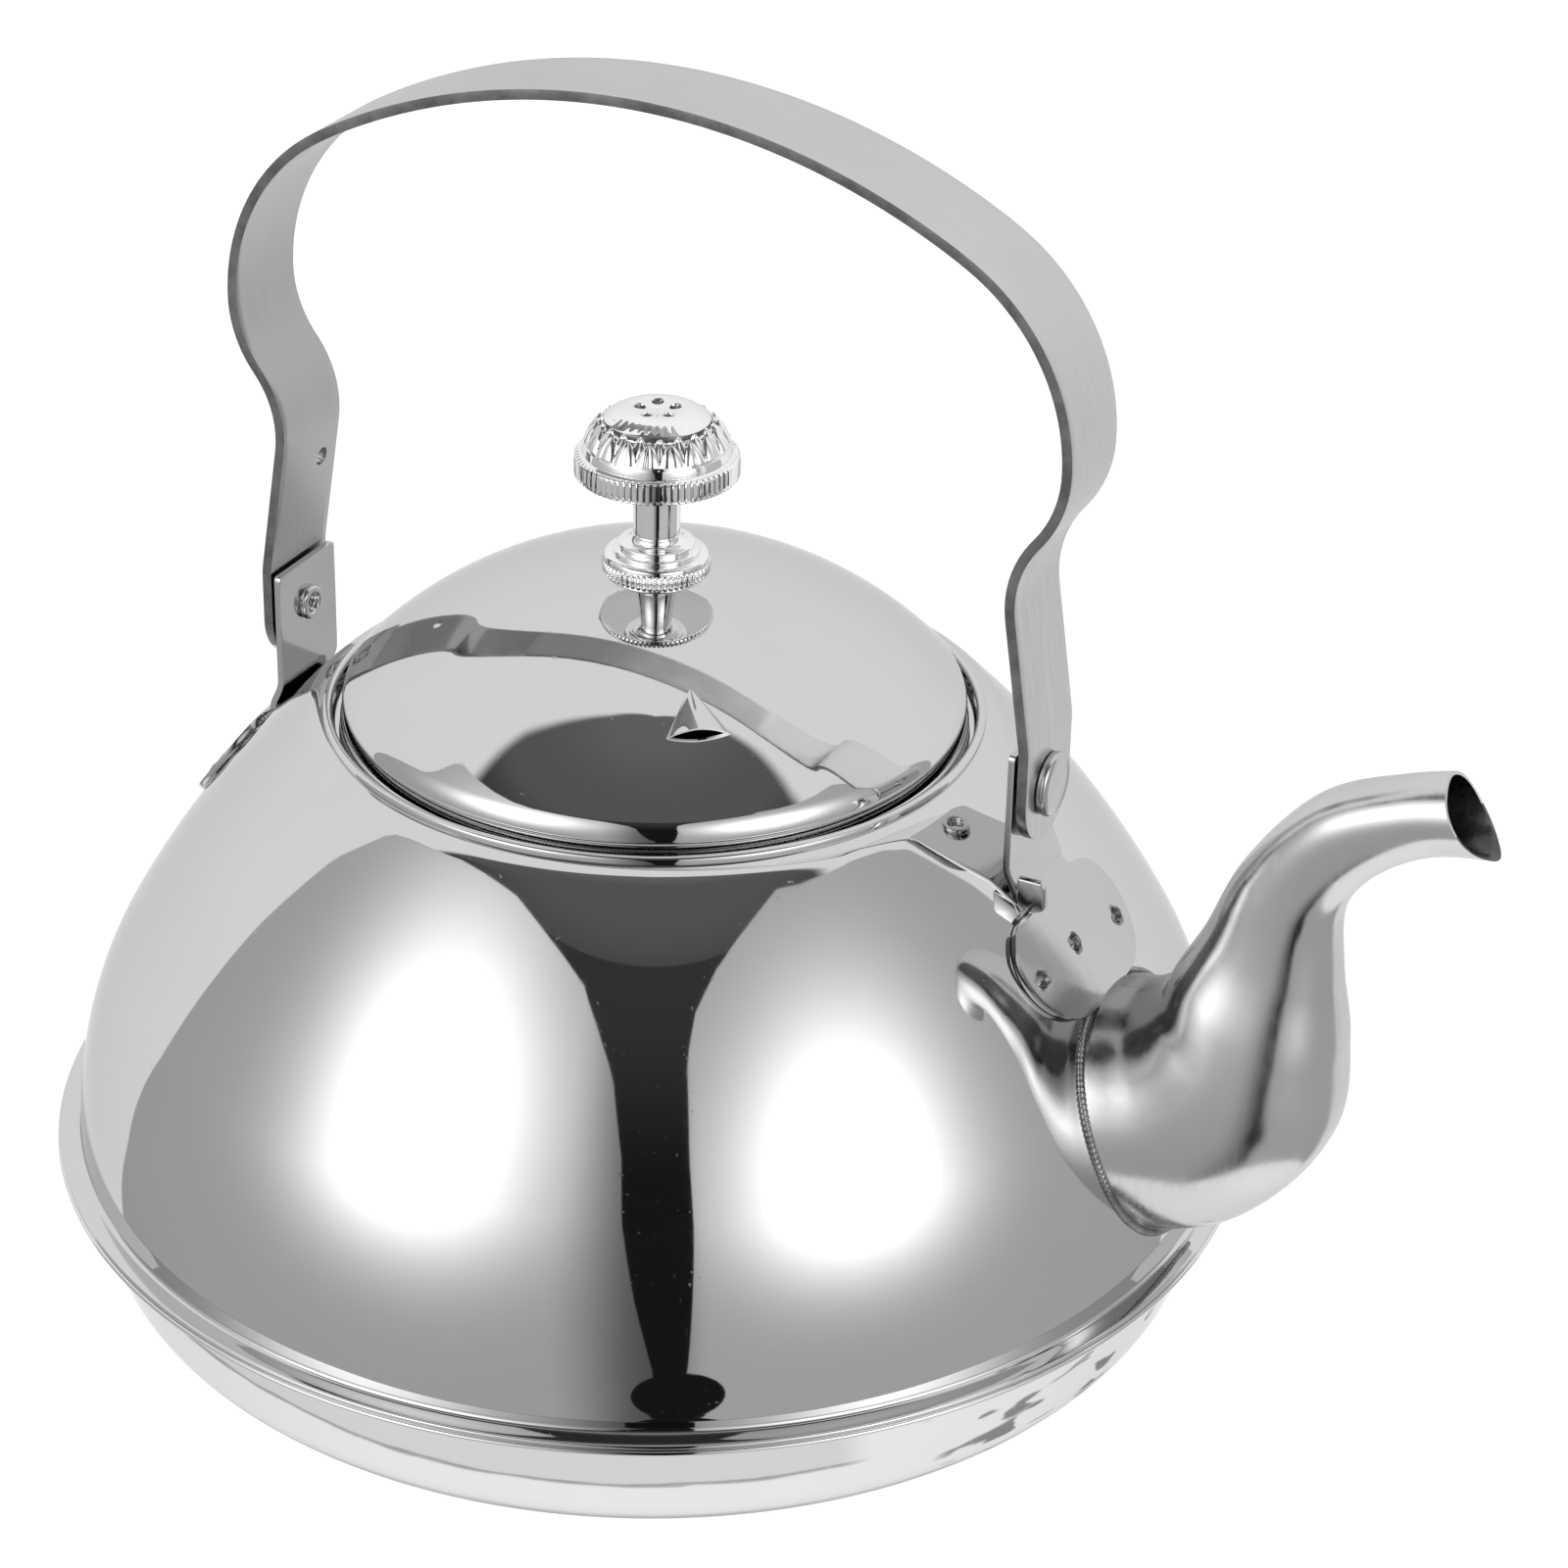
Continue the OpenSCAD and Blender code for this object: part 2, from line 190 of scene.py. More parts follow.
def grid_faces(rows, columns, wrap_columns=False, start=0, wrap_rows=False):
    """Quads between rows of points that follow each other in a list."""
    faces = []
    for i in range(rows if wrap_rows else rows - 1):
        for j in range(columns if wrap_columns else columns - 1):
            k = (j + 1) % columns
            a = start + i * columns
            b = start + (i + 1) % rows * columns
            faces.append((a + j, a + k, b + k, b + j))
    return faces


def slab_faces(rows, columns):
    """Faces of a slab whose points are two equal grids, one after the other."""
    count = rows * columns
    faces = grid_faces(rows, columns) + grid_faces(rows, columns, False, count)
    for i in range(rows - 1):
        for j in (0, columns - 1):
            a = i * columns + j
            b = a + columns
            faces.append((a, b, b + count, a + count))
    for i in (0, rows - 1):
        for j in range(columns - 1):
            a = i * columns + j
            faces.append((a, a + 1, a + 1 + count, a + count))
    return faces


def prism(name, points):
    """A solid between two equal outlines, one after the other."""
    n = len(points) // 2
    faces = [tuple(range(n)), tuple(range(2 * n - 1, n - 1, -1))]
    faces += [(i, (i + 1) % n, n + (i + 1) % n, n + i) for i in range(n)]
    return new_object(name, points, faces)


def bake_modifiers(obj):
    """Applies the object's modifiers to its mesh."""
    graph = bpy.context.evaluated_depsgraph_get()
    mesh = bpy.data.meshes.new_from_object(obj.evaluated_get(graph))
    obj.modifiers.clear()
    obj.data = mesh
    finish_shading(obj, 35.0)
    return obj


def cut(obj, cutter):
    """Boolean of obj with cutter, applied, and the cutter removed."""
    modifier = obj.modifiers.new("cut", "BOOLEAN")
    modifier.operation = "DIFFERENCE"
    modifier.solver = "EXACT"
    modifier.object = cutter
    bake_modifiers(obj)
    bpy.data.objects.remove(cutter)


def round_edges(obj, width, angle):
    """Bevels every edge sharper than angle."""
    modifier = obj.modifiers.new("round", "BEVEL")
    modifier.width = width * MM
    modifier.segments = 3
    modifier.limit_method = "ANGLE"
    modifier.angle_limit = radians(angle)
    return bake_modifiers(obj)


def rod(name, centre, axis, radius, length, segments):
    """A round bar centred on a point, its axis along a direction."""
    obj = revolve(name, [(0, -length / 2), (radius, -length / 2), (radius, length / 2), (0, length / 2)],
                  segments)
    stand(obj, centre, axis)
    return obj


def stand(obj, centre, axis):
    """Moves a piece made round Z to a point, its axis along a direction."""
    turn = Vector((0, 0, 1)).rotation_difference(Vector(axis)).to_matrix().to_4x4()
    obj.data.transform(Matrix.Translation(Vector(centre) * MM) @ turn)


def join(name, parts):
    """One object from several."""
    bm = bmesh.new()
    for part in parts:
        bm.from_mesh(part.data)
    mesh = bpy.data.meshes.new(name)
    bm.to_mesh(mesh)
    bm.free()
    for part in parts:
        bpy.data.objects.remove(part)
    return linked(name, mesh)


# ---------------- materials
class Nodes:
    """Short calls for building the node tree of a material or of the world."""

    def __init__(self, owner, shader="Principled BSDF", coords="Object"):
        owner.use_nodes = True
        self.owner = owner
        self.tree = owner.node_tree
        if shader == "Emission":
            self.tree.nodes.clear()
            self.shader = self.add(shader)
            self.add("OutputMaterial", {"Surface": self.shader.outputs[0]})
        else:
            self.shader = self.tree.nodes[shader]
        self.coords = self.add("TexCoord").outputs[coords]

    def feed(self, node, inputs):
        """Sets or links a node's sockets."""
        for key, value in inputs.items():
            if isinstance(value, bpy.types.NodeSocket):
                self.tree.links.new(value, node.inputs[key])
            else:
                node.inputs[key].default_value = value

    def add(self, kind, inputs=None, **settings):
        node = self.tree.nodes.new("ShaderNode" + kind)
        for key, value in settings.items():
            setattr(node, key, value)
        self.feed(node, inputs or {})
        return node

    def math(self, operation, a, b=0.0):
        return self.add("Math", {0: a, 1: b}, operation=operation).outputs[0]

    def plus(self, a, b):
        return self.math("ADD", a, b)

    def minus(self, a, b):
        return self.math("SUBTRACT", a, b)

    def times(self, a, b):
        return self.math("MULTIPLY", a, b)

    def squares(self, first, *others):
        """The sum of the values' squares."""
        total = self.times(first, first)
        for value in others:
            total = self.plus(total, self.times(value, value))
        return total

    def xyz(self, vector=None):
        return self.add("SeparateXYZ", {0: self.coords if vector is None else vector}).outputs

    def remap(self, value, low, high, to_low, to_high, kind="LINEAR"):
        inputs = {"Value": value, "From Min": low, "From Max": high, "To Min": to_low, "To Max": to_high}
        return self.add("MapRange", inputs, interpolation_type=kind).outputs["Result"]

    def ease(self, *numbers):
        """A remap with soft ends."""
        return self.remap(*numbers, "SMOOTHSTEP")

    def spread(self, texture, to_low, to_high):
        """Brings a noise, which mostly stays near its middle, to a range."""
        return self.remap(texture, 0.3, 0.7, to_low, to_high)

    def noise(self, vector, scale, detail=2.0, rough=0.5):
        inputs = {"Vector": vector, "Scale": scale, "Detail": detail, "Roughness": rough}
        return self.add("TexNoise", inputs).outputs["Fac"]

    def scaled(self, *scale):
        return self.add("Mapping", {"Vector": self.coords, "Scale": scale}).outputs["Vector"]

    def combined(self, **parts):
        return self.add("CombineXYZ", parts).outputs[0]

    def vector(self, operation, inputs, output="Vector"):
        return self.add("VectorMath", inputs, operation=operation).outputs[output]

    def turned(self, around, along):
        """Coordinates for marks that run round the Z axis: a direction, and reach plus height."""
        x, y, z = self.xyz()
        flat = self.combined(X=x, Y=y)
        length = self.vector("LENGTH", {0: flat}, "Value")
        unit = self.vector("SCALE", {0: self.vector("NORMALIZE", {0: flat}), "Scale": around})
        reach = self.plus(self.times(length, along), self.times(z, along))
        return self.vector("ADD", {0: unit, 1: self.combined(Z=reach)})

    def shade(self, **values):
        """Sets or links the shader's sockets, and gives back the material or world."""
        self.feed(self.shader, {key.replace("_", " "): value for key, value in values.items()})
        return self.owner

    def metal(self, colour, rough, height, strength, distance):
        """Bare metal that doesn't whiten towards its outline."""
        bump = self.add("Bump", {"Height": height, "Strength": strength, "Distance": distance})
        return self.shade(Metallic=1.0, Specular_Tint=(0.8, 0.8, 0.8, 1.0), Base_Color=colour,
                          Roughness=rough, Normal=bump.outputs["Normal"])


def material_nodes(name, shader="Principled BSDF"):
    return Nodes(bpy.data.materials.new(name), shader)


def polished_steel(name, tone, rough):
    """Buffed mirror steel: fine polishing marks round the axis, faint haze and pinholes."""
    n = material_nodes(name)
    marks = n.noise(n.turned(3.0, 5200.0), 1.0, 3.0, 0.6)
    haze = n.noise(n.coords, 38.0, 4.0, 0.55)
    pits = n.remap(n.noise(n.coords, 1500.0, 1.0, 0.4), 0.72, 0.80, 0.0, 1.0)
    hazed = n.times(n.spread(marks, rough * 0.8, rough * 1.25), n.spread(haze, 0.9, 1.2))
    height = n.minus(n.times(marks, 0.15), n.times(pits, 0.5))
    colour = n.spread(haze, tone * 0.975, tone)
    return n.metal(colour, n.plus(hazed, n.times(pits, 0.12)), height, 0.12, 0.00002)


def satin_steel(name, tone, rough, stretch, depth=0.3, painted_shade=None):
    """Belt-finished steel: long fine lines, with the stretch giving their direction.

    The last argument paints shade round a line along Y, darkening the tone: the line's x and z, where
    the painted shade ends, and how much of the tone is left.
    """
    n = material_nodes(name)
    lines = n.noise(n.scaled(*stretch), 1.0, 4.0, 0.65)
    cloud = n.noise(n.coords, 60.0, 3.0, 0.5)
    colour = n.spread(cloud, tone * 0.94, tone)
    # Painted shade: the tone darkens near the line along Y.
    if painted_shade:
        x, z, reach, left = painted_shade
        parts = n.xyz()
        away = n.math("SQRT", n.squares(n.minus(parts[0], x * MM), n.minus(parts[2], z * MM)))
        away = n.plus(away, n.spread(cloud, -0.0015, 0.0015))
        colour = n.times(colour, n.remap(away, reach * 0.6 * MM, reach * MM, left, 1.0))
    roughness = n.times(n.spread(lines, rough * 0.75, rough * 1.3), n.spread(cloud, 0.9, 1.15))
    return n.metal(colour, roughness, lines, depth, 0.00003)


def strap_inside_painted_shade(name):
    """The strap's hand side: lined, with painted shade towards the back of the handle and painted light
    towards the spout.
    """
    n = material_nodes(name)
    lines = n.noise(n.scaled(90.0, 2600.0, 90.0), 1.0, 4.0, 0.65)
    patch = n.noise(n.coords, 45.0, 2.0, 0.5)
    reach = n.plus(n.xyz()[0], n.spread(patch, -0.012, 0.012))
    # Painted shade and light: darker at the back of the handle, brighter towards the spout.
    colour = n.remap(reach, -0.03, 0.045, 0.44, 0.92)
    return n.metal(colour, n.spread(lines, 0.15, 0.26), lines, 0.18, 0.00003)


def sheared_steel(name, tone, rough):
    """A cut sheet edge: darker, with torn grain across it."""
    n = material_nodes(name)
    grain = n.noise(n.scaled(900.0, 900.0, 900.0), 1.0, 4.0, 0.7)
    patch = n.noise(n.coords, 220.0, 3.0, 0.6)
    colour = n.remap(patch, 0.35, 0.65, tone * 0.6, tone)
    return n.metal(colour, n.spread(grain, rough * 0.7, rough * 1.3), grain, 0.6, 0.00006)


def chrome(name):
    """Bright plating over a cast surface, with a slight orange peel."""
    n = material_nodes(name)
    peel = n.noise(n.coords, 420.0, 2.0, 0.5)
    cloud = n.noise(n.coords, 90.0, 2.0, 0.5)
    return n.metal(n.spread(cloud, 0.95, 1.0), n.spread(peel, 0.025, 0.06), peel, 0.12, 0.00005)


MIRROR = polished_steel("mirror_steel", 0.71, 0.030)
LID_MIRROR = polished_steel("lid_mirror_steel", 0.71, 0.028)
PAN_MIRROR = polished_steel("pan_mirror_steel", 0.80, 0.05)
STRAP_INSIDE_PAINTED_SHADE = strap_inside_painted_shade("strap_inside_painted_shade")
INSIDE = satin_steel("inside_steel", 0.52, 0.30, (60.0, 60.0, 900.0))
# Painted shade in the inner corner of the spout's bend, where the steel mirrors dark surroundings.
SPOUT_PAINTED_SHADE = (81.0, SEAM_Z + 41.0, 12.0, 0.45)
SPOUT = satin_steel("spout_steel", 0.68, 0.18, (1100.0, 1100.0, 70.0), 0.20, SPOUT_PAINTED_SHADE)
# The spout's inside: rough unpolished steel, made darker with painted shade.
SPOUT_INSIDE_PAINTED_SHADE = sheared_steel("spout_inside_painted_shade", 0.20, 0.34)
STRAP = satin_steel("strap_steel", 0.66, 0.30, (90.0, 2600.0, 90.0), 0.18)
BRACKET = satin_steel("bracket_steel", 0.62, 0.13, (120.0, 1500.0, 120.0), 0.10)
EDGE = sheared_steel("sheared_edge", 0.30, 0.36)
WELD = sheared_steel("weld_metal", 0.40, 0.30)
RIVET = satin_steel("rivet_steel", 0.60, 0.15, (260.0, 260.0, 260.0), 0.04)
CHROME = chrome("knob_chrome")
# Painted shade for the knob's grooves, the leaves' outlines and the marks on top.
RECESS_PAINTED_SHADE = satin_steel("chrome_recess_painted_shade", 0.16, 0.30, (700.0, 700.0, 700.0), 0.3)


def place(obj, body, material, node):
    """Says which body a piece rides on and its material, and hides the node that it stands for."""
    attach(obj, body)
    obj.data.materials.clear()
    obj.data.materials.append(material)
    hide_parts(node)


def place_at_leg(obj, rear, sharp, material, node):
    """Finishes a piece made for the front leg, and turns it round to the rear one if it belongs there."""
    if rear:
        obj.data.transform(Matrix.Rotation(pi, 4, "Z"))
    finish_shading(obj, sharp)
    place(obj, "kettle_body", material, node)


def paint_faces(obj, material, test):
    """Gives a second material to the faces whose centre and normal pass the test."""
    obj.data.materials.append(material)
    index = len(obj.data.materials) - 1
    for face in obj.data.polygons:
        if test(face.center / MM, face.normal):
            face.material_index = index


# ---------------- body
ROOT = Vector((78.8, 0, SEAM_Z + 22.8))
ROOT_DIR = Vector((0.94, 0, 0.3412))
ROOT_R = 18.6
OUTLET_R = 13.0
LIP_ROLL_R, SEAT_DROP, THROAT_H = 0.7, 2.3, 3.4
BODY_SIDES = 320


def body_dome():
    """The dome's sheet with its flange, its rolled lip and the lid's seat, and the outlet to the spout."""
    outer = dome_side(0, 2)
    inner = dome_side(-SHEET)
    foot_r = outer[0][0]
    flange = arc((FLANGE_R - 0.75, SEAM_Z + SHEET / 2), SHEET / 2, -90, 90, 6)
    fillet = arc((foot_r + 0.85, SEAM_Z + SHEET + 0.8), 0.8, 270, 184, 7)
    lip = arc((LIP_R + LIP_ROLL_R, LIP_Z), LIP_ROLL_R, 20, 180, 12)
    seat = LIP_Z - SEAT_DROP
    under = [(LIP_R, seat + 0.5)] + arc((LIP_R - 0.5, seat + 0.5), 0.5, 0, -90, 4)
    under += [(THROAT_R + 0.5, seat)] + arc((THROAT_R + 0.5, seat - 0.5), 0.5, 90, 180, 4)
    under += [(THROAT_R, seat - THROAT_H), (THROAT_R + SHEET, seat - THROAT_H),
              (THROAT_R + SHEET, seat - SHEET), (LIP_R + SHEET, seat - SHEET), (LIP_R + SHEET, LIP_Z - 2.0)]
    profile = flange + fillet + outer + lip + under + inner[::-1] + [(foot_r - SHEET, SEAM_Z)]
    obj = revolve("dome_shell", profile, BODY_SIDES)
    cut(obj, rod("outlet", ROOT, ROOT_DIR, OUTLET_R, 28, 96))
    place(obj, "kettle_body", MIRROR, "body_dome")
    paint_faces(obj, INSIDE, inside_dome)


def inside_dome(c, n):
    """Whether a face of the dome's sheet is on the water's side."""
    r = hypot(c.x, c.y)
    inward = (n.x * c.x + n.y * c.y) / max(r, 1e-6) < 0.05
    return c.z < LIP_Z - 2.5 and r < dome_radius(c.z) - 0.3 and (inward or n.z < -0.2)


PAN_CORNER_R, PAN_CORNER_IN, PAN_WALL_A = 10.6, 16.6, -20


def base_pan():
    """The pan's sheet, from its flat bottom over its round corner to its rim under the flange."""
    centre = (FLANGE_R - PAN_CORNER_IN, PAN_CORNER_R)
    rim = [(FLANGE_R - 2.9, SEAM_Z - 1.35)] + arc((FLANGE_R - 0.45, SEAM_Z - SHEET / 2), 0.42, -100, 90, 8)
    outer = [(0, 0), (20, 0), (50, 0)] + arc(centre, PAN_CORNER_R, -90, PAN_WALL_A, 28)
    inner = arc(centre, PAN_CORNER_R - SHEET, PAN_WALL_A, -90, 10)
    profile = outer + rim + [(FLANGE_R - 3.4, SEAM_Z)] + inner + [(0, SHEET)]
    obj = revolve("pan_shell", profile, BODY_SIDES)
    place(obj, "kettle_body", PAN_MIRROR, "base_pan")
    paint_faces(obj, INSIDE, lambda c, n: n.z > 0.05 and hypot(c.x, c.y) < FLANGE_R - 3.4)


# ---------------- spout
# Upper and lower side of the tube in the plane Y = 0, then its half width
SPOUT_SIDES = [
    ((64.95, 37.6), (77.65, 2.6), ROOT_R), ((72.45, 40.4), (85.15, 5.3), ROOT_R),
    ((78.6, 41.8), (97.2, 11.0), 16.8), ((82.4, 44.6), (107.6, 24.6), 14.6),
    ((84.0, 48.6), (108.5, 38.6), 12.3), ((87.6, 55.6), (107.0, 50.4), 9.2),
    ((92.4, 67.0), (106.6, 61.2), 7.4), ((101.6, 78.4), (110.8, 68.8), 6.6),
    ((113.8, 84.5), (118.2, 73.9), 5.7), ((124.3, 87.3), (126.5, 75.9), 5.8),
    ((130.6, 88.2), (131.4, 75.8), 6.2)]
SPOUT_FLATNESS, SPOUT_WALL, SPOUT_LIP_WALL = 0.20, 1.0, 0.5
MOUTH_TILT = radians(55)
MOUTH_SAG, MOUTH_HALF = 1.3, 7.5
MOUTH = Vector((123.8, 0, SEAM_Z + 81.5))
MOUTH_NORMAL = Vector((sin(MOUTH_TILT), 0, cos(MOUTH_TILT)))


def spline(values, s):
    """Catmull-Rom through equal-length tuples; s counts them."""
    last = len(values) - 1
    i = min(int(s), last - 1)
    t = s - i
    a, b, c, d = (values[max(0, min(last, i + k))] for k in (-1, 0, 1, 2))
    out = []
    for p, q, r, w in zip(a, b, c, d):
        out.append(0.5 * (2 * q + (r - p) * t + (2 * p - 5 * q + 4 * r - w) * t * t
                          + (3 * q - p - 3 * r + w) * t ** 3))
    return out


def raised(value, power):
    """A power that keeps the sign."""
    return copysign(abs(value) ** power, value)


def spout_surface(s, angle, wall=0.0):
    """A point of the tube at s; angle 0 is the inner, upper side and 180 the lower one.

    Its sides are flatter than an ellipse, and near the mouth it is pinched along its two seams.
    """
    x0, z0, x1, z1, half = spline([(*upper, *lower, width) for upper, lower, width in SPOUT_SIDES], s)
    centre = Vector(((x0 + x1) / 2, 0, (z0 + z1) / 2 + SEAM_Z))
    up = Vector((x0 - x1, 0, z0 - z1)) / 2
    rise = up.length
    up.normalize()
    a = radians(angle)
    pinch = 1 + 0.07 * smooth((s - 7.5) / 1.5) * abs(cos(a)) ** 10
    power = 1 - SPOUT_FLATNESS * smooth((s - 1.5) / 1.5) * smooth((8.5 - s) / 1.5)
    upward = raised(cos(a), power) * (rise - wall) * pinch
    return centre + up * upward + Vector((0, raised(sin(a), power) * (half - wall), 0))


SPOUT_MIDDLE = [(spout_surface(i / 5, 0) + spout_surface(i / 5, 180)) / 2 for i in range(50)]


def crossing(angle, wall, inside, low, high):
    """The s between low and high where inside(point) changes."""
    for _ in range(26):
        mid = (low + high) / 2
        if inside(spout_surface(mid, angle, wall)):
            low = mid
        else:
            high = mid
    return (low + high) / 2


def in_dome(grow):
    """A test for a point being inside the dome, its surface moved outwards by grow."""
    return lambda p: hypot(p.x, p.y) < dome_radius(p.z) + grow


def before_mouth(p):
    """The mouth is cut slanting, and hollow between its tip and its lower lip."""
    away = p - MOUTH
    across = away.x * MOUTH_NORMAL.z - away.z * MOUTH_NORMAL.x
    return away.dot(MOUTH_NORMAL) < -MOUTH_SAG * (1 - (across / MOUTH_HALF) ** 2)


def spout_span(angle, wall):
    """Where the tube starts, a little way into the dome's sheet, and where it ends at the mouth."""
    top = len(SPOUT_SIDES) - 1.001
    return crossing(angle, wall, in_dome(-0.35), 0.0, 3.0), crossing(angle, wall, before_mouth, 6.0, top)


def spout_half(name, side, node):
    """One pressing of the spout: its outer face, then its inner one back from the mouth, and its seams."""
    rows, columns = 150, 44
    angles = [180.0 * j / columns * side for j in range(columns + 1)]
    spans = {a: (spout_span(a, 0.0), spout_span(a, SPOUT_WALL)) for a in angles}
    order = [(i, 0) for i in range(rows + 1)] + [(i, 1) for i in range(rows, -1, -1)]
    vertices = []
    for i, inner in order:
        thin = inner * mix(SPOUT_WALL, SPOUT_LIP_WALL, smooth((i / rows - 0.85) / 0.15))
        for a in angles:
            low, high = spans[a][inner]
            vertices.append(spout_surface(mix(low, high, i / rows), a, thin))
    width = columns + 1
    faces = grid_faces(2 * (rows + 1), width)
    total = len(vertices)
    for i in range(rows):
        for j in (0, columns):
            a = i * width + j
            b = total - (i + 1) * width + j
            faces.append((a, a + width, b - width, b))
    for j in range(columns):
        faces.append((j, j + 1, total - width + j + 1, total - width + j))
    obj = new_object(name, vertices, faces, 50)
    place(obj, "kettle_body", SPOUT, node)
    # Painted shade on the faces inside the tube.
    paint_faces(obj, SPOUT_INSIDE_PAINTED_SHADE, inside_spout)


def inside_spout(c, n):
    """Whether a face looks towards the spout's centre line."""
    if (c - MOUTH).dot(MOUTH_NORMAL) > -0.2 and n.dot(MOUTH_NORMAL) > 0.6:
        return False
    nearest = min(SPOUT_MIDDLE, key=lambda m: (m - c).length_squared)
    return (c - nearest).dot(n) < 0


def bead_point(angle, turn):
    """The tube's surface at one angle, where the tube at the angle plus turn comes out of the dome."""
    s = crossing(angle + turn, -0.25, in_dome(0.1), 0.0, 3.0)
    return spout_surface(s, angle + turn, -0.2)


def weld_bead():
    """A thin rippled bead where the spout's root meets the dome."""
    segments, sides = 720, 10
    vertices = []
    for k in range(segments):
        angle = 360.0 * k / segments
        a = radians(angle)
        centre = bead_point(angle, 0)
        along = (bead_point(angle, 1) - centre).normalized()
        out = Vector((centre.x, centre.y, 0)).normalized()
        across = along.cross(out).normalized()
        out = across.cross(along).normalized()
        wander = noise.noise(Vector((4 * cos(a), 4 * sin(a), 0)))
        ripple = 0.58 + 0.10 * sin(k * 2 * pi / 5) * (0.6 + wander) + 0.10 * wander
        for j in range(sides):
            b = 2 * pi * j / sides
            vertices.append(centre + ripple * (cos(b) * across + sin(b) * out))
    obj = new_object("spout_weld_seam", vertices, grid_faces(segments, sides, True, 0, True), 60)
    place(obj, "kettle_body", WELD, "spout_weld_bead")


# ---------------- handle
STRAP_END = 8.3
RIVET_HOLE_R = 2.05
SMALL_HOLE_R, SMALL_HOLE_UP, SMALL_HOLE_Y = 1.4, 23, 3.6


def strap_path():
    """The strap's outer face seen along Y, from one end to the other, as (x, z) in millimetres."""
    side = [(LEG_X, PIVOT_Z - STRAP_END + i) for i in range(17)]
    side += arc((74, SEAM_Z + 100.3), 15, 188.8, 141.15, 24)
    side += arc((48.3, SEAM_Z + 121), 18, -37, 0, 20)
    side += arc((34.3, SEAM_Z + 121), 32, 2, 60.37, 40)
    side += arc((0, SEAM_Z + 60.7), 101.4, 61, 90, 30)
    return side + [(-x, z) for x, z in side[-2::-1]]


def path_frames(path):
    """Distance, point and outward normal at each path point."""
    total = 0.0
    frames = []
    for i, p in enumerate(path):
        if i:
            total += dist(path[i - 1], p)
        a = path[max(0, i - 1)]
        b = path[min(len(path) - 1, i + 1)]
        d = dist(a, b)
        frames.append((total, p, ((b[1] - a[1]) / d, -(b[0] - a[0]) / d)))
    return frames


def at_distance(frames, s):
    """Point and normal at distance s, found between frames."""
    high = bisect_right(frames, s, 1, len(frames) - 1, key=lambda f: f[0])
    a, b = frames[high - 1], frames[high]
    t = (s - a[0]) / (b[0] - a[0])
    point = [mix(a[1][k], b[1][k], t) for k in (0, 1)]
    normal = [mix(a[2][k], b[2][k], t) for k in (0, 1)]
    size = hypot(*normal)
    return point, (normal[0] / size, normal[1] / size)


def handle_strap():
    """A flat bar with round ends and its holes, bent along the handle's path."""
    frames = path_frames(strap_path())
    length = frames[-1][0]
    half = STRAP_W / 2
    stations = [half * (1 - cos(radians(90 * i / 14))) for i in range(14)]
    inner = int((length - 2 * half) / 1.3)
    stations += [half + (length - 2 * half) * i / inner for i in range(inner + 1)]
    stations += [length - s for s in stations[13::-1]]
    columns = 12
    vertices = []
    for level in (0.0, -STRAP_T):
        for s in stations:
            end = min(s, length - s)
            width = half if end >= half else sqrt(max(half * half - (half - end) ** 2, 1e-4))
            for j in range(columns + 1):
                vertices.append((s, width * (2 * j / columns - 1), level))
    obj = new_object("strap_handle", vertices, slab_faces(len(stations), columns + 1))
    rivet_s = PIVOT_Z - strap_path()[0][1]
    holes = [(rivet_s, 0, RIVET_HOLE_R), (length - rivet_s, 0, RIVET_HOLE_R),
             (length - rivet_s - SMALL_HOLE_UP, SMALL_HOLE_Y, SMALL_HOLE_R)]
    cut(obj, join("drills", [rod("drill", (s, y, 0), (0, 0, 1), r, 8, 40) for s, y, r in holes]))
    round_edges(obj, 0.22, 50)
    for v in obj.data.vertices:
        s = min(max(v.co.x / MM, 0.0), length)
        (x, z), (nx, nz) = at_distance(frames, s)
        depth = v.co.z / MM
        v.co = Vector((x + nx * depth, v.co.y / MM, z + nz * depth)) * MM
    outward(obj.data)
    finish_shading(obj, 40)
    place(obj, "handle", STRAP, "handle_strap")
    paint_faces(obj, EDGE, lambda c, n: abs(n.y) > 0.8)
    # The hand side gets the steel with painted shade and light.
    paint_faces(obj, STRAP_INSIDE_PAINTED_SHADE, lambda c, n: abs(n.y) < 0.3 and faces_inwards(c, n))


def faces_inwards(c, n):
    """Whether a face of the strap looks towards the space under the handle."""
    middle = Vector((0, 0, SEAM_Z + 110))
    return (Vector((c.x, 0, c.z)) - middle).dot(n) < 0


# ---------------- brackets
EAR_X = EAR_X1 + 0.8
EAR_LEAN_Z = 80.8
FOOT_X = EAR_X + 1.9
BRACKET_T = 0.95
FOOT_R, FOOT_HALF = 8.6, 7.4
FOOT_MID = (68.6, SEAM_Z + 45.7)
FOOT_GAP = 0.15
TAB_TOP, TAB_LOW, TAB_OUT, TAB_T = 79.7, 74.0, 4.2, 1.3
WELD_R, WELD_TILT = 1.35, 37.5
WELD_SPOTS = ((-13.0, 1.0), (-2.6, 1.9), (11.0, -0.2))


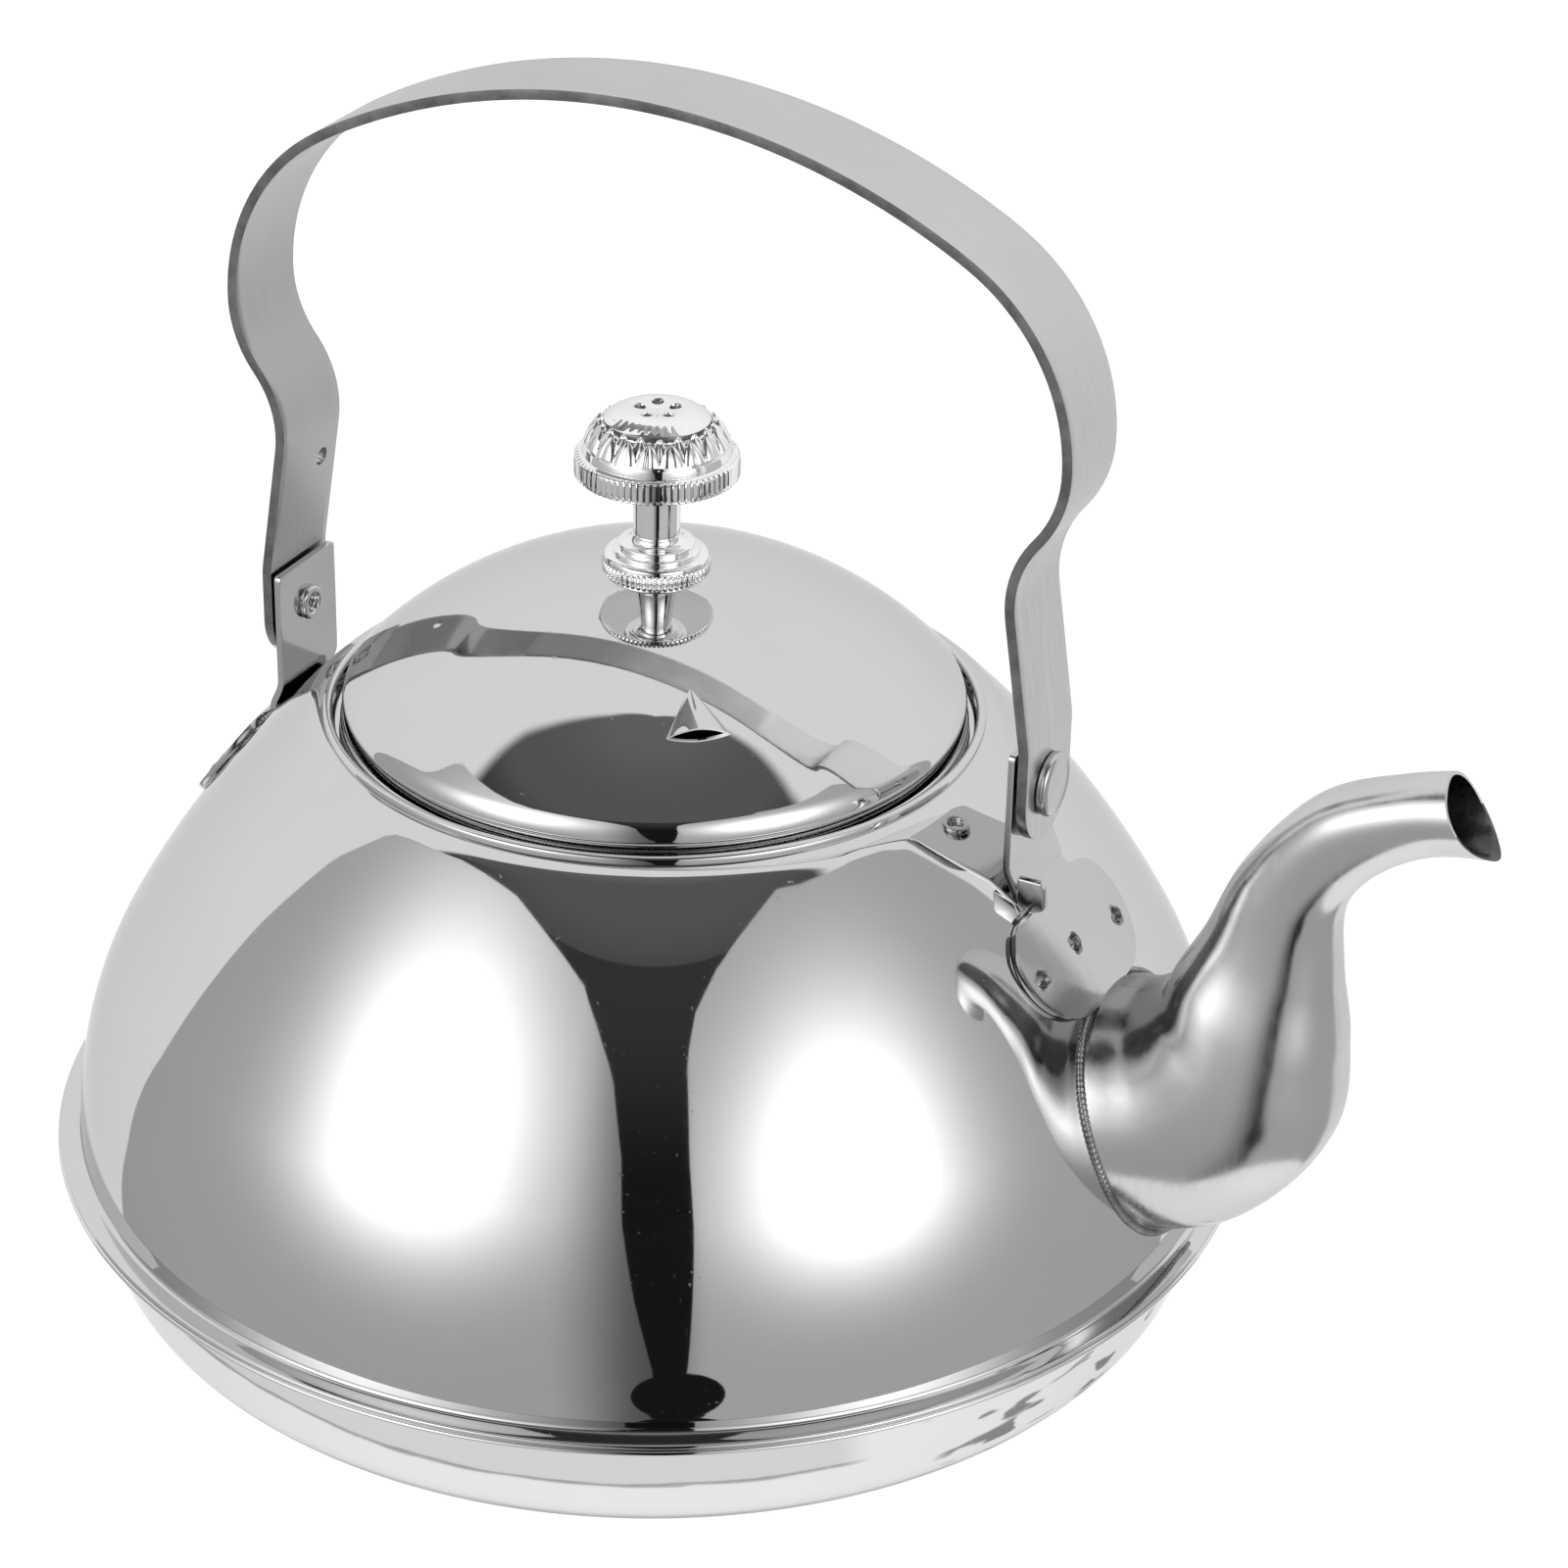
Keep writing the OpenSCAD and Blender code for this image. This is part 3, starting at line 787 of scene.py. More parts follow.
def bracket_path():
    """Middle line of the bracket in the XZ plane: down the ear, round the fold, down the dome."""
    slope = [(r, z) for r, z in reversed(dome_side(FOOT_GAP + BRACKET_T / 2)) if z > 57.0]
    fold_z = next(z for r, z in slope if r > FOOT_X)
    ear = [(EAR_X, EAR_TOP - i * 0.9) for i in range(int((EAR_TOP - EAR_LEAN_Z) / 0.9))]
    lean = []
    for i in range(12):
        t = i / 12
        lean.append((mix(EAR_X, FOOT_X, mix(t, smooth(t), 0.6)), mix(EAR_LEAN_Z, fold_z, t)))
    corner = (FOOT_X, fold_z)
    foot = [(r, z) for r, z in slope if dist((r, z), corner) > 1.2 and r > FOOT_X]
    fold = []
    for i in range(1, 8):
        t = i / 8
        sides = zip(lean[-1], corner, foot[0])
        fold.append(tuple(mix(mix(a, b, t), mix(b, c, t), t) for a, b, c in sides))
    return ear + lean + fold + foot, corner


def weld_spots():
    """Place and outward direction of the three welds on the bracket's foot."""
    flat, rise = polar(WELD_TILT)
    spots = []
    for y, up in WELD_SPOTS:
        z = FOOT_MID[1] + up
        r = dome_radius(z) + FOOT_GAP + BRACKET_T
        a = y / r
        axis = Vector((cos(a) * flat, sin(a) * flat, rise))
        spots.append((Vector((r * cos(a), r * sin(a), z)), axis))
    return spots


def bracket(name, node, rear):
    """A strap of sheet: an ear beside the handle, and a wide round foot that follows the dome."""
    path, corner = bracket_path()
    frames = path_frames(path)
    centre_s = min(frames, key=lambda f: dist(f[1], FOOT_MID))[0]
    fold_s = min(frames, key=lambda f: dist(f[1], corner))[0]
    stations = [0.0, 0.12, 0.3] + [0.8 + (centre_s - FOOT_R - 0.8) * i / 70 for i in range(71)]
    stations += [centre_s - FOOT_R * cos(radians(180 * i / 40)) for i in range(1, 41)]
    columns = 36
    vertices = []
    for s in stations:
        x, z = at_distance(frames, min(s, frames[-1][0]))[0]
        width = STRAP_W / 2 - max(0.0, 0.5 - s * 1.2) * 0.9
        if s > centre_s - FOOT_R:
            round_end = FOOT_HALF + sqrt(max(FOOT_R ** 2 - (s - centre_s) ** 2, 0.0))
            width = round_end if s > centre_s else max(STRAP_W / 2, round_end)
        wrap = smooth((s - fold_s + 2) / 3)
        for j in range(columns + 1):
            y = width * (2 * j / columns - 1)
            bent = Vector((x * cos(y / x), x * sin(y / x), z))
            vertices.append(Vector((x, y, z)).lerp(bent, wrap))
    obj = new_object(name, vertices, grid_faces(len(stations), columns + 1), recalc=False)
    modifier = obj.modifiers.new("thick", "SOLIDIFY")
    modifier.thickness = BRACKET_T * MM
    modifier.offset = 0.0
    modifier.use_even_offset = True
    bake_modifiers(obj)
    drills = [rod("drill", spot, axis, WELD_R, 6, 32) for spot, axis in weld_spots()]
    cut(obj, join("drills", drills))
    round_edges(obj, 0.16, 60)
    obj = join(name, [obj, stop_tab()])
    place_at_leg(obj, rear, 40, BRACKET, node)


def stop_tab():
    """A small lug folded out of the ear's edge."""
    near, far = FOOT_X - 0.2, FOOT_X + TAB_OUT
    outline = [(near, TAB_TOP), (far - 0.7, TAB_TOP), (far - 0.1, 79.1), (far, 75.9), (far - 0.5, 75.2),
               (near + 1.0, TAB_LOW), (near, TAB_LOW)]
    side = -STRAP_W / 2
    tab = prism("tab", [(x, y, z) for y in (side, side + TAB_T) for x, z in outline])
    return round_edges(tab, 0.3, 25)


def spot_welds(name, node, rear):
    """Three small craters in the bracket's foot."""
    profile = [(0, -0.15), (0.35, -0.2), (0.7, -0.5), (0.95, -0.55), (1.15, -0.2), (1.3, 0.16),
               (1.45, 0.26), (1.62, 0.2), (1.74, 0.04), (1.76, -0.1), (1.5, -0.9), (0, -1.0)]
    parts = []
    for i, (spot, axis) in enumerate(weld_spots()):
        def shape(r, z, a, i=i):
            wave = noise.noise(Vector((1.4 * cos(a), 1.4 * sin(a), 7.3 * i)))
            return r * (1 + 0.14 * wave), z + 0.16 * wave * (0.3 < r < 1.7)
        part = revolve("weld", profile, 48, shape, 60)
        stand(part, spot, axis)
        parts.append(part)
    obj = join(name, parts)
    place_at_leg(obj, rear, 60, WELD, node)


def rivet(name, node, rear):
    """A flat-domed head outside the strap and a hollow rolled tail inside the ear."""
    head = LEG_X + 0.15
    tail = EAR_X - BRACKET_T / 2
    profile = [(0, head + 1.35), (1.5, head + 1.32), (2.8, head + 1.2)]
    profile += arc((3.95, head + 0.62), 0.75, 60, -20, 6) + [(4.6, head + 0.05), (4.4, head), (2.0, head)]
    profile += [(2.0, tail), (2.5, tail - 0.02)] + arc((2.05, tail - 0.5), 0.62, 40, -180, 10)
    profile += [(1.25, tail - 0.3), (1.2, tail + 1.2), (0, tail + 1.3)]
    obj = revolve(name, profile, 96, None, 40)
    turned = Matrix.Rotation(radians(90), 4, "Y")
    obj.data.transform(Matrix.Translation(Vector((0, 0, PIVOT_Z)) * MM) @ turned)
    place_at_leg(obj, rear, 40, RIVET, node)


# ---------------- lid
CROWN_R, CROWN_A, EDGE_R, EDGE_A = 62.1, 44.6, 4.4, 8.0
CROWN_C = (0.0, LID_TOP - CROWN_R)
EDGE_C = beyond(CROWN_C, CROWN_A, CROWN_R - EDGE_R)
VENT_ANGLE = -52.4


def lid_side(grow, fine=1):
    """The lid's meridian from its rim to its middle, moved outwards by grow."""
    edge = arc(EDGE_C, EDGE_R + grow, EDGE_A, CROWN_A - 1.5, 12 * fine)
    return edge + arc(CROWN_C, CROWN_R + grow, CROWN_A, 90, 60 * fine)[:-1]


def lid_shell():
    """The lid's sheet with the bead round its foot, opened under the vent."""
    low = LIP_Z - 2.15
    edge_x = lid_side(0)[0][0]
    bead = arc((edge_x - 0.35, low + 0.75), 0.75, -70, 62, 10)
    outer = [(edge_x - 0.2, low)] + bead + lid_side(0, 2) + [(0, LID_TOP)]
    inner = [(0, LID_TOP - SHEET)] + lid_side(-SHEET)[::-1] + [(edge_x - 1.0, low)]
    obj = revolve("lid_dome", outer + inner, BODY_SIDES)
    cut(obj, vent_cutter())
    place(obj, "lid", LID_MIRROR, "lid_shell")
    paint_faces(obj, INSIDE, lambda c, n: n.z < -0.05)


VENT_TOP_R, VENT_LOW_R, VENT_HALF, VENT_H = 27.8, 34.6, 4.55, 2.1


def vent_point(v, u, height):
    """A point over the vent: v runs from its tip to its mouth, u from side to side."""
    c, d = polar(VENT_ANGLE)
    along = mix(VENT_TOP_R, VENT_LOW_R, v)
    across = u * VENT_HALF * v
    x = along * c - across * d
    y = along * d + across * c
    rise = sqrt(CROWN_R ** 2 - x * x - y * y)
    return Vector((x, y, CROWN_C[1] + rise)) + Vector((x, y, rise)).normalized() * height


def vent_hood():
    """A small scoop pressed up out of the lid, open towards the rim."""
    rows, columns, thick = 24, 28, 0.45
    vertices = []
    for layer in (0.0, thick):
        for i in range(rows + 1):
            v = 0.02 + 0.98 * i / rows
            for j in range(columns + 1):
                u = 2 * j / columns - 1
                arch = (1 - abs(u) ** 1.7) ** 0.8
                crease = 0.22 * exp(-((u - 0.12) / 0.10) ** 2) * smooth((0.75 - v) / 0.5)
                height = VENT_H * v ** 1.15 * arch + crease * v * 2 - 0.05 - layer
                vertices.append(vent_point(v, u, height))
    obj = new_object("lid_vent_hood", vertices, slab_faces(rows + 1, columns + 1), 50)
    place(obj, "lid", LID_MIRROR, "lid_shell")


def vent_cutter():
    """What the vent's hood leaves open in the lid."""
    outline = [(0.30, -0.7), (0.30, 0.7), (0.97, 0.9), (0.99, 0.0), (0.97, -0.9)]
    return prism("vent_cutter", [vent_point(v, u, h) for h in (-4.0, 3.0) for v, u in outline])


# ---------------- knob
KNURL_R, KNURL_N, KNURL_DEPTH = 11.85, 76, 0.6
KNURL_Z = LID_TOP + 13.8
STEM_R, STEM_H = 3.4, 12.9
BASE_R, BASE_BEADS, BEAD_H = 7.8, 56, 0.28


def part_of_turn(a, count):
    """How far an angle is into its part, from 0 to 1, of a circle cut into count parts."""
    return (a * count / (2 * pi)) % 1.0


def knob_base():
    """Three steps with round edges, the lowest one beaded."""
    z = LID_TOP
    drop = CROWN_R - sqrt(CROWN_R ** 2 - BASE_R ** 2)
    profile = [(2.1, z - 0.2), (BASE_R - 0.6, z - drop + 0.1), (BASE_R - 0.5, z - drop + 0.1)]
    profile += arc((BASE_R - 0.5, z + 0.0), 0.5, -70, 60, 8)
    profile += arc((BASE_R - 0.95, z + 1.0), 0.7, -20, 80, 6)
    profile += [(6.3, z + 1.75)] + arc((5.9, z + 2.05), 0.35, -60, 70, 6)
    profile += [(5.5, z + 2.5)] + arc((5.15, z + 3.0), 0.4, -50, 80, 6)
    profile += [(4.6, z + 3.5)] + arc((4.7, z + 4.6), 1.1, 265, 180, 6)
    profile += [(2.1, z + 4.6)]

    def beads(r, zz, a):
        if zz < z + 0.45 and r > BASE_R - 0.7:
            return r + BEAD_H * 0.5 * cos(BASE_BEADS * a), zz
        return r, zz
    obj = revolve("knob_foot", profile, BASE_BEADS * 8, beads, 50)
    place(obj, "lid", CHROME, "knob_base")


def knob_stem():
    z = LID_TOP + 3.9
    profile = [(0, z), (STEM_R, z), (STEM_R, z + STEM_H), (0, z + STEM_H)]
    obj = revolve("knob_post", profile, 96, None, 50)
    place(obj, "lid", CHROME, "knob_stem")


def knob_ring():
    """The knurled ring under the cap."""
    z, r = KNURL_Z, KNURL_R
    body = [(STEM_R, z + 0.1), (9.2, z + 0.1), (r - 0.9, z), (r - 0.25, z), (r, z + 0.3), (r, z + 1.0),
            (r, z + 2.0), (r - 0.05, z + 2.9), (r - 0.4, z + 3.2), (r - 1.2, z + 3.2), (r - 1.7, z + 3.0),
            (r - 1.7, z + 1.1), (STEM_R, z + 1.0)]

    def ribs(r, zz, a):
        if r < KNURL_R - 1.0:
            return r, zz
        gap = smooth((abs(part_of_turn(a, KNURL_N) - 0.5) - 0.28) / 0.12)
        return r - KNURL_DEPTH * gap * smooth((r - KNURL_R + 1.0) / 0.6), zz
    obj = revolve("knob_rim", body, KNURL_N * 14, ribs, 45)
    place(obj, "lid", CHROME, "knob_knurled_ring")
    # Painted shade in the grooves between the ribs.
    paint_faces(obj, RECESS_PAINTED_SHADE, between_ribs)


def between_ribs(c, n):
    """The grooves of the knurled ring, where shade is painted."""
    phase = part_of_turn(atan2(c.y, c.x), KNURL_N)
    return abs(phase - 0.5) > 0.40 and hypot(c.x, c.y) > KNURL_R - 0.8 and 0.2 < c.z - KNURL_Z < 3.0


PETALS = 18
CAP_RIM = KNURL_Z + 3.22
CAP_C, CAP_R = CAP_RIM - 3.5, 11.4
CAP_H = CAP_C + CAP_R - CAP_RIM
TOP_DISH = 1.5
LEAF_LOW, LEAF_HIGH = 0.24, 0.66
MARKS = [tuple(2.7 * c for c in polar(72 * i + 117.7)) for i in range(5)]


def petal(a, shift, height, top):
    """Height of a pointed leaf at angle a; height runs from 0 at its foot to 1 at its tip."""
    phase = (part_of_turn(a, PETALS) + shift) % 1.0 - 0.5
    width = 0.52 * sqrt(max(0.0, 1 - (height / top) ** 1.7)) if height < top else 0.0
    if width < 0.02 or abs(phase) > width:
        return 0.0
    t = abs(phase) / width
    return sqrt(1 - t ** 3) * (0.75 + 0.25 * smooth(t * 3))


def leaves(a, rise):
    """Heights of the front and the back row of leaves."""
    up = (rise - LEAF_LOW) / (LEAF_HIGH - LEAF_LOW)
    if up <= 0:
        return 0.0, 0.0
    return petal(a, 0.0, up, 0.84), petal(a, 0.5, up, 1.0)


def knob_cap():
    """A round cap with a band, two rows of leaves, a fluted top and five marks."""
    profile = [(KNURL_R - 1.8, CAP_RIM - 1.6), (KNURL_R - 0.75, CAP_RIM)]
    start = degrees(acos((KNURL_R - 1.1) / CAP_R))
    for r, z in arc((0, CAP_C), CAP_R, start, 89.6, 110):
        rise = (z - CAP_RIM) / CAP_H
        profile.append((r + 0.5 * sin(pi * min(1.0, rise)) * min(1.0, r / 4), z))
    profile += [(0, CAP_C + CAP_R)]

    def relief(r, z, a):
        rise = (z - CAP_RIM) / CAP_H
        if z < CAP_RIM + 0.05 or r < 0.2:
            return r, z - (TOP_DISH if r < 0.2 else 0.0)
        centre = Vector((r, z - CAP_C)).normalized()
        front, back = leaves(a, rise)
        rib = 0.10 * exp(-((part_of_turn(a, PETALS) - 0.5) / 0.05) ** 2) * (front > 0.3)
        height = max(0.75 * front + rib, 0.42 * back)
        band = 0.5 * smooth((LEAF_LOW - 0.02 - rise) / 0.04) * smooth(rise / 0.05)
        upper = 0.55 * smooth((rise - LEAF_HIGH + 0.05) / 0.07)
        flute = 0.02 * cos(2 * PETALS * a) * smooth((rise - 0.7) / 0.05) * smooth((r - 3.2) / 1.5)
        height += band + upper + flute - 0.6
        height -= 0.9 * smooth((0.95 - from_mark(r * cos(a), r * sin(a))) / 0.3)
        dish = TOP_DISH * smooth((6.2 - r) / 6.0)
        return r + centre.x * height, z + centre.y * height - dish
    obj = revolve("knob_crown", profile, PETALS * 32, relief, 55)
    place(obj, "lid", CHROME, "knob_cap")
    # Painted shade round the leaves and in the five marks.
    paint_faces(obj, RECESS_PAINTED_SHADE, between_leaves)


def from_mark(x, y):
    """How far a place on top of the cap is from the nearest mark."""
    return min(dist((x, y), mark) for mark in MARKS)


def between_leaves(c, n):
    """The hollows round the leaves' tips, the leaves' outlines and the five marks on top, where shade is
    painted.
    """
    rise = (c.z - CAP_RIM) / CAP_H
    if hypot(c.x, c.y) < 4.5:
        return from_mark(c.x, c.y) < 0.8
    if not LEAF_LOW + 0.04 < rise < LEAF_HIGH:
        return False
    front, back = leaves(atan2(c.y, c.x), rise)
    return 0.0 < front < 0.5 or (front == 0.0 and back < 0.45 and rise > LEAF_LOW + 0.15)


# ---------------- the rest of the CAD nodes
def carried_nodes():
    """The hidden nodes stay as they are, with a material of their own."""
    for name in ("lid_locating_ring", "knob_washer", "knob_screw"):
        node = frame["nodes"][name]
        node.data.materials.clear()
        node.data.materials.append(INSIDE if name == "lid_locating_ring" else RIVET)


# ---------------- studio
CAMERA_AT = Vector((0.26315, -0.5004, 0.37682))
AZIMUTH, ELEVATION, ROLL = 25.81, 28.04, 1.34
LENS, SENSOR = 99.81, 36.0


def camera():
    """The photograph's view, turned by an azimuth, an elevation and a roll in degrees."""
    (c, s), (flat, rise), (straight, lean) = polar(AZIMUTH), polar(ELEVATION), polar(ROLL)
    back = Vector((s * flat, -c * flat, rise))
    level = Vector((c, s, 0))
    upward = back.cross(level)
    right = straight * level + lean * upward
    up = -lean * level + straight * upward
    data = bpy.data.cameras.new("camera")
    data.sensor_width = SENSOR
    data.lens = LENS
    data.clip_start = 0.01
    obj = linked("camera", data)
    obj.matrix_world = Matrix.Translation(CAMERA_AT) @ Matrix((right, up, back)).transposed().to_4x4()
    bpy.context.scene.camera = obj


ROOM_R = 1.5
ROOM_CENTRE = Vector((0, 0, 0.06))
ROOM_LIGHT = 0.9
FLOOR_LIGHT_AT = (0.2, 0.3, 1.6)
FRONT = atan2(CAMERA_AT.y, CAMERA_AT.x)


def room_point(azimuth, elevation, radius=ROOM_R):
    """A point on a sphere round the kettle, its azimuth in degrees to the left or right of the camera."""
    a = FRONT + radians(azimuth)
    flat, rise = polar(elevation)
    return Vector((cos(a) * flat, sin(a) * flat, rise)) * radius + ROOM_CENTRE


def follow(edge, elevation):
    """Azimuth of an edge, given as (elevation, azimuth) points, at an elevation."""
    for (e0, a0), (e1, a1) in zip(edge, edge[1:]):
        if elevation <= e1:
            return mix(a0, a1, (elevation - e0) / (e1 - e0))
    return edge[-1][1]


def stage_card(obj, material):
    """Gives a studio card its material and hides it from the camera and from shadows. Only reflections and
    light see it.
    """
    obj.data.materials.append(material)
    obj.visible_camera = False
    obj.visible_shadow = False


def panel(name, inner, outer, low, high, material, radius=ROOM_R):
    """A curved studio panel between two edges, with its place from one to the other in "across"."""
    rows, columns = 50, 60
    vertices = []
    for i in range(rows + 1):
        e = mix(low, high, i / rows)
        a0, a1 = follow(inner, e), follow(outer, e)
        for j in range(columns + 1):
            vertices.append(room_point(mix(a0, a1, j / columns), e, radius) / MM)
    obj = new_object(name, vertices, grid_faces(rows + 1, columns + 1), recalc=False)
    across = obj.data.attributes.new("across", "FLOAT", "POINT")
    for i in range(len(vertices)):
        across.data[i].value = (i % (columns + 1)) / columns
    stage_card(obj, material)


def diffuser_material(name, core, core_power, edge_power, reach, upper, soft):
    """Lit cloth: brightest at its lamp and falling off to its edges, faster above it by upper.

    soft is how far from the camera's azimuth, in degrees, its inner edge reaches full light.
    """
    n = material_nodes(name, "Emission")
    away = n.vector("SUBTRACT", {0: n.coords, 1: room_point(*core)})
    x, y, z = n.xyz(away)
    height = n.plus(n.times(n.math("MAXIMUM", z), upper), n.math("MINIMUM", z))
    glow = n.math("EXPONENT", n.times(n.squares(x, y, height), -1 / reach ** 2))
    power = n.plus(n.times(glow, core_power - edge_power), edge_power)
    x, y, z = n.xyz()
    off_camera = n.math("ABSOLUTE", n.minus(n.math("ARCTAN2", y, x), FRONT))
    return n.shade(Strength=n.times(power, n.ease(off_camera, 0.0, radians(soft), 0.25, 1.0)))


def dark_material(name, low_z, high_z, low_power, high_power):
    """Dark cloth, a little lighter towards the ceiling."""
    n = material_nodes(name, "Emission")
    return n.shade(Strength=n.ease(n.xyz()[2], low_z, high_z, low_power, high_power))


def ceiling_material(name, far, near, dark, pale):
    """Dark cloth that thins out over the kettle, and is as bright as the room at its two sides."""
    n = material_nodes(name, "Emission")
    reach = n.math("SQRT", n.squares(*n.xyz()[:2]))
    low = n.times(n.ease(reach, near, far, pale, dark), n.ease(reach, 0.85, 1.15, 1.0, 0.4))
    across = n.add("Attribute", attribute_name="across").outputs["Fac"]
    fade = n.ease(n.math("ABSOLUTE", n.minus(across, 0.5)), 0.45, 0.50, 0.0, 1.0)
    return n.shade(Strength=n.plus(low, n.times(fade, n.minus(ROOM_LIGHT, low))))


def disc(name, azimuth, elevation, half_wide, half_high, radius, material):
    """A round card, its half sizes in degrees as seen from the kettle."""
    rings, sides = 4, 48
    vertices = [room_point(azimuth, elevation, radius) / MM]
    for i in range(1, rings + 1):
        for k in range(sides):
            c, s = polar(360 * k / sides)
            side, height = azimuth + half_wide * i / rings * c, elevation + half_high * i / rings * s
            vertices.append(room_point(side, height, radius) / MM)
    faces = [(0, 1 + k, 1 + (k + 1) % sides) for k in range(sides)]
    faces += grid_faces(rings, sides, True, 1)
    stage_card(new_object(name, vertices, faces, recalc=False), material)


# The edges of the studio's cards, as (elevation, azimuth) in degrees
SOFT_EDGES = {
    "left": ([(-50, 3.0), (-17.6, 0.2), (1, -2.9), (22, -5.7), (30, -6.5), (39, -9.7), (44, -15.0),
              (49, -22.0), (51.5, -34.0), (52.5, -51.0)],
             [(-50, -150), (-33, -125), (-20, -117), (-2.5, -112.5), (15, -109), (27, -105), (38, -97),
              (44, -95), (50, -68), (52.5, -52)]),
    "right": ([(-50, 3.6), (-17, 6.6), (22, 8.2), (30, 8.0), (41, 8.8), (46, 11.8), (50, 18.6),
               (53, 29.6), (54.6, 48.0)],
              [(-50, 120), (-32, 117), (-20, 114), (15, 106), (27, 101), (37.6, 94), (46, 84), (54.6, 49)])}
SLIT_EDGES = [(-50, -8), (44, -26), (60, -60)], [(-50, 8), (44, 26), (60, 60)]
CEILING_EDGES = ([(30, -78), (36, -83), (48, -90), (60, -99), (80, -101), (88, -110)],
                 [(30, 62), (40, 67), (53, 72), (66, 82), (80, 91), (88, 100)])


def studio():
    """Two diffusers with a dark slit between them, a dark ceiling, and a dark disc below the slit."""
    left = diffuser_material("left_diffuser", (-51, 27), 2.5, 0.45, 0.56, 1.15, 20.0)
    right = diffuser_material("right_diffuser", (41, 23), 2.6, 0.47, 0.51, 1.3, 11.0)
    black = dark_material("dark_cloth", 0.75, 1.25, 0.010, 0.04)
    ceiling = ceiling_material("ceiling_cloth", 0.75, 0.15, 0.115, 0.155)
    panel("left_diffuser", *SOFT_EDGES["left"], -50, 52.5, left)
    panel("right_diffuser", *SOFT_EDGES["right"], -50, 54.6, right)
    panel("slit", *SLIT_EDGES, -50, 52, black, ROOM_R * 1.04)
    panel("dark_ceiling", *CEILING_EDGES, 38, 89.9, ceiling, ROOM_R * 1.07)
    disc("dark_disc", 5, -26, 8.5, 7.0, ROOM_R * 0.95, black)


def white_room():
    """The world: even white light, brighter from the table below."""
    n = Nodes(bpy.data.worlds.new("white_room"), "Background", "Generated")
    glow = n.ease(n.xyz()[2], -0.75, -0.4, 1.1, ROOM_LIGHT)
    bpy.context.scene.world = n.shade(Color=(1, 1, 1, 1), Strength=glow)
    lamp = bpy.data.lights.new("floor_light", "AREA")
    lamp.shape = "DISK"
    lamp.size = 1.6
    lamp.energy = 20.0
    obj = linked("floor_light", lamp)
    obj.location = FLOOR_LIGHT_AT
    obj.rotation_euler = Vector((0, 0, 1)).rotation_difference(obj.location).to_euler()
    obj.visible_glossy = False
    obj.visible_camera = False


